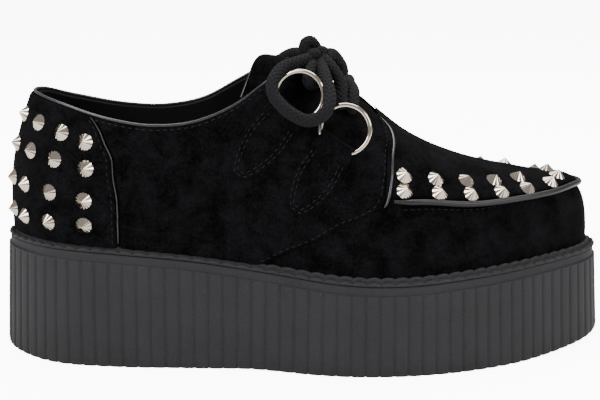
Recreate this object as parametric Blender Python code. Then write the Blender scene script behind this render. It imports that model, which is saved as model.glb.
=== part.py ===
"""A right creeper shoe: a suede upper on a tall ribbed rubber platform.

Frame: +X toe, -X heel, -Y the outer (lateral) side, +Y the inner (medial) side, +Z up, floor at z = 0.
"turn" goes once round the shoe: 0 back of the heel, 0.25 lateral waist, 0.5 tip of the toe, 0.75 medial
waist.
"up" goes from the upper's foot (0) to its collar, or to the ridge over the instep and toe (1).
"""
import math

import bmesh
import bpy
import numpy as np
from mathutils import Matrix, Vector

# Driving sizes, in metres
SHOE_LENGTH = 0.278       # sole, back of the heel to tip of the toe
BALL_WIDTH = 0.108        # width that the outline's shares are given in
HEEL_HEIGHT = 0.0518      # platform at the heel
FOREPART_HEIGHT = 0.039   # platform under the ball
INSTEP_HEIGHT = 0.091     # top of the instep above the platform's forepart
WALL_FLARE = 0.0025       # how far the platform widens from its top to the floor
TOE_SPRING = 0.0035       # lift of the tread at the toe
ARCH_RISE = 0.0008        # lift of the tread at the waist
RIBS_A_SIDE = 53
RIB_DEPTH = 0.0009
BAND_HEIGHT = 0.0040      # smooth band above the ribs
BAND_SET_BACK = 0.0007
TOP_ROUND = 0.0006
FEATHER_INSET = 0.0045    # foot of the upper, inside the platform's top edge
WALL = 0.0020             # leather and lining of the upper
GAP = 0.0003              # between pieces that meet
SEAM_GAP = 0.0005         # between the counter's edge and the quarter's
QUARTER_THICK = 0.0012
COUNTER_THICK = 0.0016
APRON_THICK = 0.0014
TAB_THICK = 0.0010
INSOLE_THICK = 0.0040
TONGUE_THICK = 0.0026
PIPING_RADIUS = 0.0012
APRON_PIPING_RADIUS = 0.0015
STUD_RADIUS = 0.0035
STUD_HEIGHT = 0.0030
STUD_SINK = 0.0008        # root of a stud inside its panel
RING_RADIUS = 0.0104      # D-ring, to the middle of its wire
RING_WIRE = 0.0010
RING_TILT = math.radians(20)
TAB_ROLL = 0.0023         # fold of a tab round its ring's bar
LACE_RADIUS = 0.00265
SLOT_HALF = 0.015         # half the throat slot's width


def table(columns, *rows):
    """A short table as named columns."""
    return dict(zip(columns.split(), np.array(rows, float).T))


# The sole's outline. Along is a share of SHOE_LENGTH. Lateral and medial are the fullness of each side
# against a plain ellipse, middle is the centre line as a share of BALL_WIDTH towards the medial side.
SOLE = table("along lateral medial middle",
             (0.00, 1.020, 1.220, 0.027),
             (0.08, 1.070, 1.120, 0.005),
             (0.20, 0.940, 0.960, 0.000),
             (0.34, 0.838, 0.800, 0.000),
             (0.46, 0.896, 0.790, 0.000),
             (0.58, 1.015, 0.900, 0.000),
             (0.70, 1.071, 1.000, 0.020),
             (0.83, 1.115, 0.975, 0.083),
             (0.93, 1.078, 1.010, 0.125),
             (1.00, 1.120, 1.080, 0.150))

# The platform's top: height is the share of the way from FOREPART_HEIGHT to HEEL_HEIGHT
PLATFORM = table("along height",
                 (0.00, 1.00), (0.14, 0.93), (0.28, 0.74), (0.42, 0.40), (0.55, 0.07),
                 (0.64, 0.00), (0.76, 0.12), (0.88, 0.25), (1.00, 0.32))

# The last, a section at each turn. Top_along is a share of SHOE_LENGTH, the heights are shares of
# INSTEP_HEIGHT, lateral and medial are shares of BALL_WIDTH: together they are the collar, then the ridge.
# Each section is one arc: swell and rise pull its foot out and up, reach and drop pull its top out and
# down.
LAST = table("turn top_along lateral_height medial_height lateral medial swell rise reach drop",
             (0.000, 0.0647, 0.857, 0.857, 0.010, 0.010, 0.020, 0.45, 0.080, 0.34),
             (0.050, 0.0755, 0.848, 0.848, -0.085, 0.100, 0.020, 0.45, 0.080, 0.34),
             (0.100, 0.1150, 0.816, 0.805, -0.181, 0.190, 0.018, 0.45, 0.070, 0.34),
             (0.150, 0.2014, 0.749, 0.745, -0.273, 0.280, 0.010, 0.42, 0.040, 0.34),
             (0.175, 0.2626, 0.724, 0.738, -0.292, 0.292, 0.010, 0.40, 0.035, 0.32),
             (0.200, 0.3310, 0.742, 0.782, -0.282, 0.280, 0.010, 0.40, 0.045, 0.30),
             (0.220, 0.3920, 0.816, 0.885, -0.245, 0.243, 0.010, 0.40, 0.072, 0.26),
             (0.235, 0.4390, 0.915, 0.962, -0.194, 0.199, 0.011, 0.40, 0.110, 0.22),
             (0.248, 0.4780, 0.992, 1.000, -0.111, 0.125, 0.012, 0.42, 0.180, 0.16),
             (0.260, 0.5110, 1.003, 1.003, 0.014, 0.014, 0.012, 0.45, 0.290, 0.11),
             (0.275, 0.5540, 0.899, 0.899, 0.014, 0.014, 0.012, 0.48, 0.300, 0.10),
             (0.295, 0.6080, 0.760, 0.760, 0.016, 0.016, 0.012, 0.52, 0.300, 0.09),
             (0.315, 0.6550, 0.643, 0.643, 0.020, 0.020, 0.012, 0.57, 0.300, 0.07),
             (0.350, 0.7300, 0.527, 0.527, 0.037, 0.037, 0.010, 0.66, 0.285, 0.06),
             (0.400, 0.8270, 0.448, 0.448, 0.065, 0.065, 0.008, 0.74, 0.260, 0.05),
             (0.450, 0.8780, 0.424, 0.424, 0.100, 0.100, 0.006, 0.80, 0.190, 0.05),
             (0.500, 0.9030, 0.418, 0.418, 0.125, 0.125, 0.004, 0.82, 0.140, 0.05))
COLLAR_FRONT = 0.260      # turn at which the collar's two sides meet on the ridge
SLOT_FRONT = 0.0863 * SHOE_LENGTH    # the throat slot's front end, from the middle of the shoe
SLOT_MIDDLE = 0.0139 * BALL_WIDTH

# How far up the last the toe apron's edge runs
APRON_EDGE = table("turn up",
                   (0.240, 0.42), (0.292, 0.37), (0.315, 0.41), (0.344, 0.43), (0.379, 0.50),
                   (0.401, 0.55), (0.424, 0.59), (0.449, 0.61), (0.500, 0.61))
FOOT_ROW = 0.045          # overlays start this far up, just clear of the welt


def curve(columns, name, at):
    """A smooth curve through one column, with slopes taken from its neighbours."""
    knots = columns[next(iter(columns))]
    values = columns[name]
    slope = np.diff(values) / np.diff(knots)
    bend = np.concatenate([slope[:1], (slope[1:] + slope[:-1]) / 2, slope[-1:]])
    at = np.asarray(at, float)
    i = np.clip(np.searchsorted(knots, at, "right") - 1, 0, len(knots) - 2)
    span = knots[i + 1] - knots[i]
    t = (at - knots[i]) / span
    return ((2 * t ** 3 - 3 * t ** 2 + 1) * values[i] + (t ** 3 - 2 * t ** 2 + t) * span * bend[i]
            + (3 * t ** 2 - 2 * t ** 3) * values[i + 1] + (t ** 3 - t ** 2) * span * bend[i + 1])


def both_sides(half):
    """The sections of both sides as one table that runs past a full turn at each end."""
    shared = ("top_along", "swell", "rise", "reach", "drop")
    order = np.arange(len(half["turn"]))
    back = order[::-1][1:-1]
    whole = {"turn": np.concatenate([half["turn"], 1 - half["turn"][back]])}
    whole["height"] = np.concatenate([half["lateral_height"], half["medial_height"][back]])
    whole["across"] = np.concatenate([half["lateral"], half["medial"][back]])
    for name in shared:
        whole[name] = np.concatenate([half[name], half[name][back]])
    lap = 3
    for name, column in whole.items():
        shift = 1.0 if name == "turn" else 0.0
        whole[name] = np.concatenate([column[-lap:] - shift, column, column[:lap] + shift])
    return whole


SECTIONS = both_sides(LAST)


def raw_outline(turn):
    """The sole's outline before it is centred in the frame."""
    turn = np.asarray(turn, float) % 1
    along = (1 - np.cos(2 * np.pi * turn)) / 2
    fullness = np.where(turn <= 0.5, curve(SOLE, "lateral", along), curve(SOLE, "medial", along))
    half_width = fullness * BALL_WIDTH / 2 * np.sin(2 * np.pi * turn)
    across = BALL_WIDTH * curve(SOLE, "middle", along) - half_width
    return (along - 0.5) * SHOE_LENGTH, across


_, edge_across = raw_outline(np.linspace(0, 1, 2001))
MIDDLE_SHIFT = (edge_across.max() + edge_across.min()) / 2


def outline(turn, inset=0.0):
    """The sole's outline moved inwards by inset."""
    x, y = raw_outline(turn)
    step = 1e-4
    x1, y1 = raw_outline(np.asarray(turn) + step)
    x0, y0 = raw_outline(np.asarray(turn) - step)
    length = np.hypot(x1 - x0, y1 - y0)
    return x - (y1 - y0) / length * inset, y - MIDDLE_SHIFT + (x1 - x0) / length * inset


def platform_top(x):
    along = np.clip(x / SHOE_LENGTH + 0.5, 0, 1)
    return FOREPART_HEIGHT + (HEEL_HEIGHT - FOREPART_HEIGHT) * curve(PLATFORM, "height", along)


def tread(x):
    """The tread's underside: flat under heel and forefoot, lifted at the waist and the toe."""
    toe = np.clip((x - 0.31 * SHOE_LENGTH) / (0.19 * SHOE_LENGTH), 0, 1)
    waist = np.clip(1 - np.abs(x + 0.08 * SHOE_LENGTH) / (0.09 * SHOE_LENGTH), 0, 1)
    return TOE_SPRING * toe ** 2 + ARCH_RISE * (3 * waist ** 2 - 2 * waist ** 3)


def even_turns(count):
    """Turns spaced evenly along the outline, as many on each side, with one at heel and toe."""
    fine = np.linspace(0, 1, 4001)
    x, y = raw_outline(fine)
    run = np.concatenate([[0], np.cumsum(np.hypot(np.diff(x), np.diff(y)))])
    half = count // 2
    toe = run[2000]
    marks = np.concatenate([np.linspace(0, toe, half + 1)[:-1], np.linspace(toe, run[-1], half + 1)[:-1]])
    return np.interp(marks, run, fine)


def last_surface(turn, up):
    """Points on the outside of the upper."""
    turn, up = np.broadcast_arrays(np.asarray(turn, float) % 1, np.asarray(up, float))
    foot_x, foot_y = outline(turn, WALL_FLARE + FEATHER_INSET)
    foot = np.stack([foot_x, foot_y, platform_top(foot_x) + GAP], -1)
    top = np.stack([(curve(SECTIONS, "top_along", turn) - 0.5) * SHOE_LENGTH,
                    curve(SECTIONS, "across", turn) * BALL_WIDTH,
                    FOREPART_HEIGHT + curve(SECTIONS, "height", turn) * INSTEP_HEIGHT], -1)
    step = 1e-4
    out_x, out_y = outline(turn, 0)
    in_x, in_y = outline(turn, step)
    out = np.stack([out_x - in_x, out_y - in_y, np.zeros_like(out_x)], -1) / step
    level = foot - top
    height = -level[..., 2:]
    level[..., 2] = 0
    level /= np.linalg.norm(level, axis=-1, keepdims=True)
    rise = np.array([0, 0, 1.0])
    low = foot + out * curve(SECTIONS, "swell", turn)[..., None] * BALL_WIDTH \
        + rise * curve(SECTIONS, "rise", turn)[..., None] * height
    high = top + level * curve(SECTIONS, "reach", turn)[..., None] * BALL_WIDTH \
        - rise * curve(SECTIONS, "drop", turn)[..., None] * height
    t = up[..., None]
    return (1 - t) ** 3 * foot + 3 * t * (1 - t) ** 2 * low + 3 * t * t * (1 - t) * high + t ** 3 * top


def last_normal(turn, up):
    """Outward directions, the same for both sides on the ridge that they share."""
    turn, up = np.broadcast_arrays(np.asarray(turn, float) % 1, np.asarray(up, float))
    step = 1e-3

    def facing(at):
        low = np.minimum(up, 0.985)
        around = last_surface(at + step, low) - last_surface(at - step, low)
        rising = last_surface(at, np.minimum(up + step, 1)) - last_surface(at, np.maximum(up - step, 0))
        normal = np.cross(around, rising)
        return normal / np.linalg.norm(normal, axis=-1, keepdims=True)

    normal = facing(turn)
    on_ridge = (up > 1 - 1e-6) & (turn > COLLAR_FRONT - 1e-6) & (turn < 1 - COLLAR_FRONT + 1e-6)
    shared = normal + facing(1 - turn)
    shared /= np.linalg.norm(shared, axis=-1, keepdims=True)
    return np.where(on_ridge[..., None], shared, normal)


def on_last(turn, up, lift=0.0):
    return last_surface(turn, up) + last_normal(turn, up) * lift


def up_rows(turn, below=3, above=4):
    """Rows up the last, with one along the apron's edge: as many columns as turns."""
    edge = curve(APRON_EDGE, "up", np.clip(np.minimum(turn % 1, 1 - turn % 1), 0.24, 0.5))
    rows = [np.zeros_like(edge)]
    rows += [FOOT_ROW + (edge - FOOT_ROW) * k / below for k in range(below)]
    rows += [edge + (1 - edge) * k / above for k in range(above + 1)]
    return np.array(rows)


def find_on_last(side, x, z=None, y=None):
    """The turn and up where the last's side has the given place in side view (x, z) or in plan (x, y)."""
    turn = 0.25 + 0.1 * np.asarray(x, float) / (0.36 * SHOE_LENGTH)
    up = np.full_like(turn, 0.6 if y is None else 0.85)
    turn = turn if side < 0 else 1 - turn
    axis, goal = (2, z) if y is None else (1, y)
    target = np.stack([np.asarray(x, float), np.asarray(goal, float)], -1)
    step = 1e-4
    for _ in range(40):
        here = last_surface(turn, up)[..., [0, axis]]
        along_turn = (last_surface(turn + step, up)[..., [0, axis]] - here) / step
        along_up = (last_surface(turn, up + step)[..., [0, axis]] - here) / step
        miss = target - here
        size = along_turn[..., 0] * along_up[..., 1] - along_turn[..., 1] * along_up[..., 0]
        turn_step = (miss[..., 0] * along_up[..., 1] - miss[..., 1] * along_up[..., 0]) / size
        up_step = (along_turn[..., 0] * miss[..., 1] - along_turn[..., 1] * miss[..., 0]) / size
        turn = turn + np.clip(turn_step, -0.02, 0.02)
        up = np.clip(up + np.clip(up_step, -0.1, 0.1), 0.0, 1.0)
    return turn, up


def smooth_through(points, per_span, closed=False):
    """A Catmull-Rom curve through points, with per_span steps between each two."""
    points = np.array(points, float)
    count = len(points)
    spans = count if closed else count - 1
    out = []
    for i in range(spans):
        if closed:
            a, b, c, d = (points[(i + k) % count] for k in (-1, 0, 1, 2))
        else:
            b, c = points[i], points[i + 1]
            a = points[i - 1] if i else 2 * b - c
            d = points[i + 2] if i + 2 < count else 2 * c - b
        for k in range(per_span):
            t = k / per_span
            out.append(b + 0.5 * t * (c - a + t * (2 * a - 5 * b + 4 * c - d + t * (3 * (b - c) + d - a))))
    if not closed:
        out.append(points[-1])
    return np.array(out)


# Scene, collections and materials

for old in list(bpy.data.objects):
    bpy.data.objects.remove(old, do_unlink=True)

shoe = bpy.data.collections.new("creeper_shoe")
cutters = bpy.data.collections.new("cutters")
bpy.context.scene.collection.children.link(shoe)
bpy.context.scene.collection.children.link(cutters)


def material(name, colour, roughness, metallic=0.0):
    made = bpy.data.materials.new(name)
    made.use_nodes = True
    shader = made.node_tree.nodes["Principled BSDF"]
    shader.inputs["Base Color"].default_value = (*colour, 1)
    shader.inputs["Roughness"].default_value = roughness
    shader.inputs["Metallic"].default_value = metallic
    return made


RUBBER = material("moulded_rubber", (0.060, 0.060, 0.064), 0.62)
SUEDE = material("black_suede", (0.010, 0.010, 0.011), 0.95)
LINING = material("black_lining", (0.014, 0.014, 0.015), 0.80)
PIPING = material("patent_piping", (0.045, 0.045, 0.050), 0.25)
NICKEL = material("bright_nickel", (0.80, 0.77, 0.72), 0.15, 1.0)
LACE = material("braided_lace", (0.016, 0.016, 0.018), 0.85)


def finish(bm, name, surface, smooth=True):
    """Turn a bmesh into a named object of the shoe."""
    bmesh.ops.triangulate(bm, faces=[f for f in bm.faces if len(f.verts) == 4], quad_method="FIXED")
    bmesh.ops.recalc_face_normals(bm, faces=bm.faces)
    mesh = bpy.data.meshes.new(name)
    bm.to_mesh(mesh)
    bm.free()
    made = bpy.data.objects.new(name, mesh)
    mesh.materials.append(surface)
    shoe.objects.link(made)
    if smooth:
        mesh.shade_smooth()
        mesh.set_sharp_from_angle(angle=math.radians(40))
    return made


def as_helper(made):
    """Keep an object out of the shoe: it only cuts or joins."""
    shoe.objects.unlink(made)
    cutters.objects.link(made)
    made.hide_render = True
    made.display_type = "WIRE"
    return made


def grid_faces(bm, rows, around=False, inward=False):
    """Faces between rows of vertices, all split along the same diagonal."""
    for low, high in zip(rows[:-1], rows[1:]):
        count = len(low)
        for i in range(count if around else count - 1):
            j = (i + 1) % count
            corners = (low[i], high[i], high[j], low[j]) if inward else (low[i], low[j], high[j], high[i])
            bm.faces.new(corners)


def vertices(bm, points):
    return [bm.verts.new(p) for p in points]


def cap_across(bm, ring, flip):
    """Close a ring by strips from its lateral to its medial half."""
    count = len(ring)
    for i in range(count // 2):
        strip = [ring[i], ring[i + 1], ring[(count - i - 1) % count], ring[(count - i) % count]]
        strip = list(dict.fromkeys(strip))
        bm.faces.new(reversed(strip) if flip else strip)


# Outsole: ribs round the wall, a smooth band above them, a flat top under the upper

def make_outsole():
    bm = bmesh.new()
    ribbed = even_turns(RIBS_A_SIDE * 2 * 3)
    notch = np.where(np.arange(len(ribbed)) % 3 == 0, RIB_DEPTH, 0.0)
    foot_x, foot_y = outline(ribbed, notch)
    top_x, top_y = outline(ribbed, notch + WALL_FLARE * 0.92)
    foot = vertices(bm, np.stack([foot_x, foot_y, tread(foot_x)], -1))
    shoulder = vertices(bm, np.stack([top_x, top_y, platform_top(top_x) - BAND_HEIGHT], -1))
    grid_faces(bm, [foot, shoulder], around=True)
    plain = even_turns(RIBS_A_SIDE * 2)
    band = []
    edge = BAND_SET_BACK + TOP_ROUND
    for inset, drop in ((BAND_SET_BACK, BAND_HEIGHT), (BAND_SET_BACK, TOP_ROUND), (edge, 0)):
        x, y = outline(plain, WALL_FLARE + inset)
        band.append(vertices(bm, np.stack([x, y, platform_top(x) - drop], -1)))
    for i, corner in enumerate(band[0]):
        j = (i + 1) % len(band[0])
        rib = [shoulder[(3 * i + k) % len(shoulder)] for k in range(4)]
        bm.faces.new((corner, rib[0], rib[1]))
        bm.faces.new((corner, rib[1], rib[2]))
        bm.faces.new((corner, rib[2], band[0][j]))
        bm.faces.new((rib[2], rib[3], band[0][j]))
    grid_faces(bm, band, around=True)
    cap_across(bm, foot, flip=True)
    cap_across(bm, band[-1], flip=False)
    return finish(bm, "outsole", RUBBER)


# Welt: two raised rows with a stitch groove between them, as inset and rise in metres

WELT_PROFILE = table("inset rise",
                     (0.0009, 0.0003), (0.0008, 0.0012), (0.0017, 0.0016), (0.0024, 0.0010),
                     (0.0030, 0.0022), (0.0037, 0.0029), (0.0039, 0.0003))


def make_welt():
    bm = bmesh.new()
    turns = even_turns(64)
    rings = []
    for inset, rise in zip(WELT_PROFILE["inset"], WELT_PROFILE["rise"]):
        x, y = outline(turns, WALL_FLARE + inset)
        rings.append(vertices(bm, np.stack([x, y, platform_top(x) + rise], -1)))
    grid_faces(bm, rings + rings[:1], around=True)
    return finish(bm, "welt", RUBBER)


def make_insole():
    bm = bmesh.new()
    turns = even_turns(40)
    x, y = outline(turns, WALL_FLARE + FEATHER_INSET + WALL + 2 * GAP)
    under = vertices(bm, np.stack([x, y, platform_top(x) + GAP], -1))
    over = vertices(bm, np.stack([x, y, platform_top(x) + GAP + INSOLE_THICK], -1))
    grid_faces(bm, [under, over], around=True)
    cap_across(bm, under, flip=True)
    cap_across(bm, over, flip=False)
    return finish(bm, "insole", LINING)


# Forms cut from the last: a shell between two lifts over a range of turns and rows

COLUMNS = np.array([0.0, 0.03, 0.055, 0.08, 0.105, 0.13, 0.155, 0.18, 0.20, 0.22, 0.235, 0.248,
                    COLLAR_FRONT, 0.275, 0.29, 0.305, 0.325, 0.345, 0.365, 0.385, 0.405, 0.425, 0.445, 0.465,
                    0.4825, 0.5])
AROUND = np.concatenate([COLUMNS, 1 - COLUMNS[-2:0:-1]])


def slab(name, surface, outer, inner, around=False, ridge=()):
    """A closed body between two grids of points. Columns in ridge share their last row, so stay open."""
    bm = bmesh.new()
    skins = [[vertices(bm, row) for row in grid] for grid in (outer, inner)]
    grid_faces(bm, skins[0], around)
    grid_faces(bm, skins[1], around, inward=True)
    grid_faces(bm, [skins[1][0], skins[0][0]], around)
    if not around:
        for end in (0, -1):
            grid_faces(bm, [[row[end] for row in skin] for skin in skins])
    top = [skins[0][-1], skins[1][-1]]
    count = len(top[0])
    for i in range(count if around else count - 1):
        j = (i + 1) % count
        if not (i in ridge and j in ridge):
            bm.faces.new((top[0][i], top[0][j], top[1][j], top[1][i]))
    bmesh.ops.remove_doubles(bm, verts=bm.verts, dist=1e-6)
    return finish(bm, name, surface)


def shell(name, surface, low_turn, high_turn, inner, outer, first_row=1, joined=False):
    """A slab that follows the last between two turns, from one lift to another."""
    round_twice = np.concatenate([AROUND - 1, AROUND])
    turns = round_twice[(round_twice > low_turn - 1e-6) & (round_twice < high_turn + 1e-6)]
    around = high_turn - low_turn > 0.999
    rows = up_rows(turns)[first_row:]
    turn = turns % 1
    on_ridge = np.where((turn > COLLAR_FRONT - 1e-6) & (turn < 1 - COLLAR_FRONT + 1e-6))[0]
    return slab(name, surface, on_last(turns, rows, outer), on_last(turns, rows, inner), around,
                set(on_ridge) if joined else ())


def prism(name, points, axis, low, high):
    """A flat outline pushed straight along Y (from side view) or Z (from plan)."""
    bm = bmesh.new()
    if axis == "Y":
        ring = vertices(bm, [(p[0], low, p[1]) for p in points])
        push = Vector((0, high - low, 0))
    else:
        ring = vertices(bm, [(p[0], p[1], low) for p in points])
        push = Vector((0, 0, high - low))
    face = bm.faces.new(ring)
    raised = bmesh.ops.extrude_face_region(bm, geom=[face])["geom"]
    bmesh.ops.translate(bm, verts=[v for v in raised if isinstance(v, bmesh.types.BMVert)], vec=push)
    bmesh.ops.recalc_face_normals(bm, faces=bm.faces)
    return as_helper(finish(bm, name, RUBBER, smooth=False))


def cut(made, tool, operation):
    change = made.modifiers.new(operation.lower(), "BOOLEAN")
    change.operation = operation
    change.object = tool
    change.solver = "EXACT"


def side_cutter(name, outline_xz, side=0):
    """A side-view outline as a cutter through the whole shoe, or through one side of it."""
    low = 0.0 if side > 0 else -BALL_WIDTH
    high = 0.0 if side < 0 else BALL_WIDTH
    return prism(name, outline_xz, "Y", low, high)


def tube(name, surface, path, radius, closed=False, sides_step=1):
    """A round tube along a path, with flat ends."""
    line = bpy.data.curves.new(name, "CURVE")
    line.dimensions = "3D"
    line.bevel_depth = radius
    line.bevel_resolution = sides_step
    line.use_fill_caps = True
    spline = line.splines.new("POLY")
    spline.points.add(len(path) - 1)
    for point, at in zip(spline.points, path):
        point.co = (*at, 1)
    spline.use_cyclic_u = closed
    holder = bpy.data.objects.new(name, line)
    cutters.objects.link(holder)
    mesh = bpy.data.meshes.new_from_object(holder.evaluated_get(bpy.context.evaluated_depsgraph_get()))
    bpy.data.objects.remove(holder, do_unlink=True)
    bm = bmesh.new()
    bm.from_mesh(mesh)
    bmesh.ops.remove_doubles(bm, verts=bm.verts, dist=1e-6)
    return finish(bm, name, surface)


def placed(*points):
    """Places given as shares: along of SHOE_LENGTH from its middle, across of BALL_WIDTH, and height of
    INSTEP_HEIGHT above the platform's forepart. Two numbers are a side view: along and height."""
    shares = np.array(points, float)
    if shares.shape[1] == 2:
        spots = shares * (SHOE_LENGTH, INSTEP_HEIGHT)
    else:
        spots = shares * (SHOE_LENGTH, BALL_WIDTH, INSTEP_HEIGHT)
    spots[:, -1] += FOREPART_HEIGHT
    return spots


make_outsole()
make_welt()
make_insole()
upper = shell("upper", SUEDE, 0.0, 1.0 - 1e-4, -WALL, 0.0, first_row=0, joined=True)

# Throat: a slot in plan that the upper and both quarters share, with a round front end

round_end = [(SLOT_FRONT - SLOT_HALF + SLOT_HALF * math.cos(t), SLOT_MIDDLE + SLOT_HALF * math.sin(t))
             for t in np.linspace(-math.pi / 2, math.pi / 2, 9)]
SLOT_REAR = -0.108 * SHOE_LENGTH     # well inside the collar
slot = prism("throat_cutter",
             [(SLOT_REAR, SLOT_MIDDLE - SLOT_HALF), *round_end, (SLOT_REAR, SLOT_MIDDLE + SLOT_HALF)],
             "Z", FOREPART_HEIGHT + INSTEP_HEIGHT / 2, FOREPART_HEIGHT + INSTEP_HEIGHT * 1.3)
cut(upper, slot, "DIFFERENCE")

# Edges of the overlays in side view: the counter's front edge, the quarters' foot line and front edge

COUNTER_EDGE = placed((-0.2910, 0.0110), (-0.2910, 0.1813), (-0.2910, 0.2615), (-0.2914, 0.3824),
                      (-0.2964, 0.4879), (-0.2978, 0.5703), (-0.3079, 0.6407), (-0.3176, 0.7132),
                      (-0.3299, 0.7659), (-0.3525, 0.9451))
VAMP_LINE = placed((-0.0791, 0.0110), (-0.0536, 0.1000), (-0.0230, 0.1571), (0.0198, 0.2154),
                   (0.0597, 0.2791), (0.0978, 0.3330))
FRONT_EDGE = placed((0.1140, 0.3791), (0.1219, 0.4945), (0.1252, 0.5802), (0.1281, 0.6473),
                    (0.1234, 0.7000), (0.1054, 0.7549), (0.0766, 0.8022))
seam = (SEAM_GAP, 0)
channel = (2 * PIPING_RADIUS + 3 * GAP, 0)
quarter_outline = np.concatenate([COUNTER_EDGE + seam, placed((0.0755, 1.22)), FRONT_EDGE[::-1],
                                  VAMP_LINE[::-1]])
rear_outline = np.concatenate([COUNTER_EDGE, placed((-0.575, 0.9451), (-0.575, 0.011))])
front_outline = np.concatenate([placed((-0.216, -0.1), (0.0288, 0.011)), VAMP_LINE[4:] + channel,
                                FRONT_EDGE + channel, placed((0.0827, 1.22), (-0.216, 1.22))])
LATERAL, MEDIAL = -1, 1
quarters = {}
for side, word in ((LATERAL, "lateral"), (MEDIAL, "medial")):
    span = (0.13, 0.325) if side == LATERAL else (0.675, 0.87)
    made = shell("quarter_" + word, SUEDE, *span, GAP, GAP + QUARTER_THICK)
    cut(made, side_cutter("quarter_cutter_" + word, quarter_outline), "INTERSECT")
    cut(made, slot, "DIFFERENCE")
    quarters[side] = made


def stud(bm, foot, normal):
    """A cone whose root sinks into its panel."""
    turn_to = Vector(normal).to_track_quat("Z", "Y").to_matrix().to_4x4()
    cone_height = STUD_HEIGHT + STUD_SINK
    middle = Vector(foot) + Vector(normal) * (cone_height / 2 - STUD_SINK)
    bmesh.ops.create_cone(bm, cap_ends=True, segments=6, radius1=STUD_RADIUS, radius2=0, depth=cone_height,
                          matrix=Matrix.Translation(middle) @ turn_to)


def stud_cutter(name, places, lift):
    """All studs of a panel in one mesh, at the given (turn, up) places."""
    bm = bmesh.new()
    for turn, up in places:
        stud(bm, on_last(turn, up, lift), last_normal(turn, up))
    return as_helper(finish(bm, name, NICKEL, smooth=False))


# Heel counter with four rows of eight studs, as the places on its lateral half

COUNTER_STUDS = table("turn up",
                      (0.040, 0.845), (0.0796, 0.831), (0.1085, 0.808), (0.1298, 0.790),
                      (0.038, 0.619), (0.0746, 0.613), (0.1026, 0.592), (0.1301, 0.582),
                      (0.037, 0.364), (0.0666, 0.350), (0.0978, 0.338), (0.1280, 0.328),
                      (0.038, 0.157), (0.0628, 0.135), (0.0951, 0.136), (0.1274, 0.152))


def both_halves(places):
    """Places on the lateral half, with their mirror images."""
    return [(at, up) for turn, up in zip(places["turn"], places["up"]) for at in (turn, 1 - turn)]


counter = shell("heel_counter", SUEDE, -0.18, 0.18, GAP, GAP + COUNTER_THICK)
cut(counter, side_cutter("counter_cutter", rear_outline), "INTERSECT")
heel_places = both_halves(COUNTER_STUDS)
cut(counter, stud_cutter("counter_studs", heel_places, GAP + COUNTER_THICK), "UNION")

# Toe apron with two rows of studs along its edge

APRON_STUDS = table("turn up",
                    (0.3012, 0.425), (0.3220, 0.467), (0.3426, 0.488), (0.3650, 0.535), (0.3868, 0.588),
                    (0.4149, 0.668), (0.3021, 0.520), (0.3214, 0.568), (0.3423, 0.606), (0.3638, 0.666),
                    (0.3859, 0.735))
TIP_STUDS = [(0.4429, 0.755), (0.478, 0.965)]
apron = shell("toe_apron", SUEDE, 0.275, 0.725, GAP, GAP + APRON_THICK, first_row=4, joined=True)
toe_places = both_halves(APRON_STUDS) + TIP_STUDS
cut(apron, stud_cutter("apron_studs", toe_places, GAP + APRON_THICK), "UNION")
cut(apron, side_cutter("apron_cutter", front_outline), "DIFFERENCE")

# Pipings: round the collar, down both quarters' front edges, along the apron's edge

def rib_direction(turn, up):
    step = 1e-3
    rising = last_surface(turn, up) - last_surface(turn, up - step)
    return rising / np.linalg.norm(rising, axis=-1, keepdims=True)


collar_turns = np.linspace(-0.240, 0.240, 45)
collar_path = on_last(collar_turns, 1.0, 0.0) + rib_direction(collar_turns, 1.0) * (PIPING_RADIUS + 3 * GAP)
tube("collar_piping", PIPING, collar_path, PIPING_RADIUS)
for side, word in ((LATERAL, "lateral"), (MEDIAL, "medial")):
    edge = smooth_through(FRONT_EDGE + (PIPING_RADIUS + 1.5 * GAP, 0), 3)
    turn, up = find_on_last(side, edge[:-6, 0], z=edge[:-6, 1])
    path = last_surface(turn, up)
    path[:, 1] += (2 * GAP + PIPING_RADIUS) / last_normal(turn, up)[:, 1]
    tube("edge_piping_" + word, PIPING, path, PIPING_RADIUS)
apron_turns = np.linspace(0.296, 0.704, 41)
apron_up = curve(APRON_EDGE, "up", np.minimum(apron_turns, 1 - apron_turns))
below_edge = rib_direction(apron_turns, apron_up) * (APRON_PIPING_RADIUS + GAP)
tube("apron_piping", PIPING, on_last(apron_turns, apron_up, APRON_PIPING_RADIUS + 2 * GAP) - below_edge,
     APRON_PIPING_RADIUS)

# Tongue: follows the last's inside under the slot, its tip rises inside the collar

TONGUE_TIP = placed((-0.1007, -0.1713, 0.8462), (-0.0899, -0.1343, 0.9341), (-0.0719, -0.0741, 1.0110),
                    (-0.0504, 0.0278, 1.0264), (-0.0468, 0.1111, 1.0110), (-0.0647, 0.1620, 0.9341),
                    (-0.0791, 0.1991, 0.8462))
tongue_turns = AROUND[(AROUND > COLLAR_FRONT - 1e-6) & (AROUND < 0.35)]
tongue_rows = up_rows(tongue_turns)[5:]
skins = []
for lift in (-WALL - GAP, -WALL - GAP - TONGUE_THICK):
    lateral = on_last(tongue_turns, tongue_rows, lift)
    medial = on_last(1 - tongue_turns, tongue_rows, lift)
    sections = np.concatenate([lateral, medial[-2::-1]]).transpose(1, 0, 2)
    depth = -WALL - GAP - lift
    towards = (0, SLOT_MIDDLE, FOREPART_HEIGHT + 0.725 * INSTEP_HEIGHT) - TONGUE_TIP
    towards[:, 0] = 0
    towards /= np.linalg.norm(towards, axis=-1, keepdims=True)
    tip = TONGUE_TIP + towards * depth
    middle = tip * 0.5 + sections[0] * 0.5
    skins.append(np.concatenate([tip[None], middle[None], sections]))
slab("tongue", SUEDE, skins[0], skins[1])

# Ring tabs: a leaf on the quarter, rolled round the straight bar of its D-ring. The leaf's half-widths are
# shares of RING_RADIUS.

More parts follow.
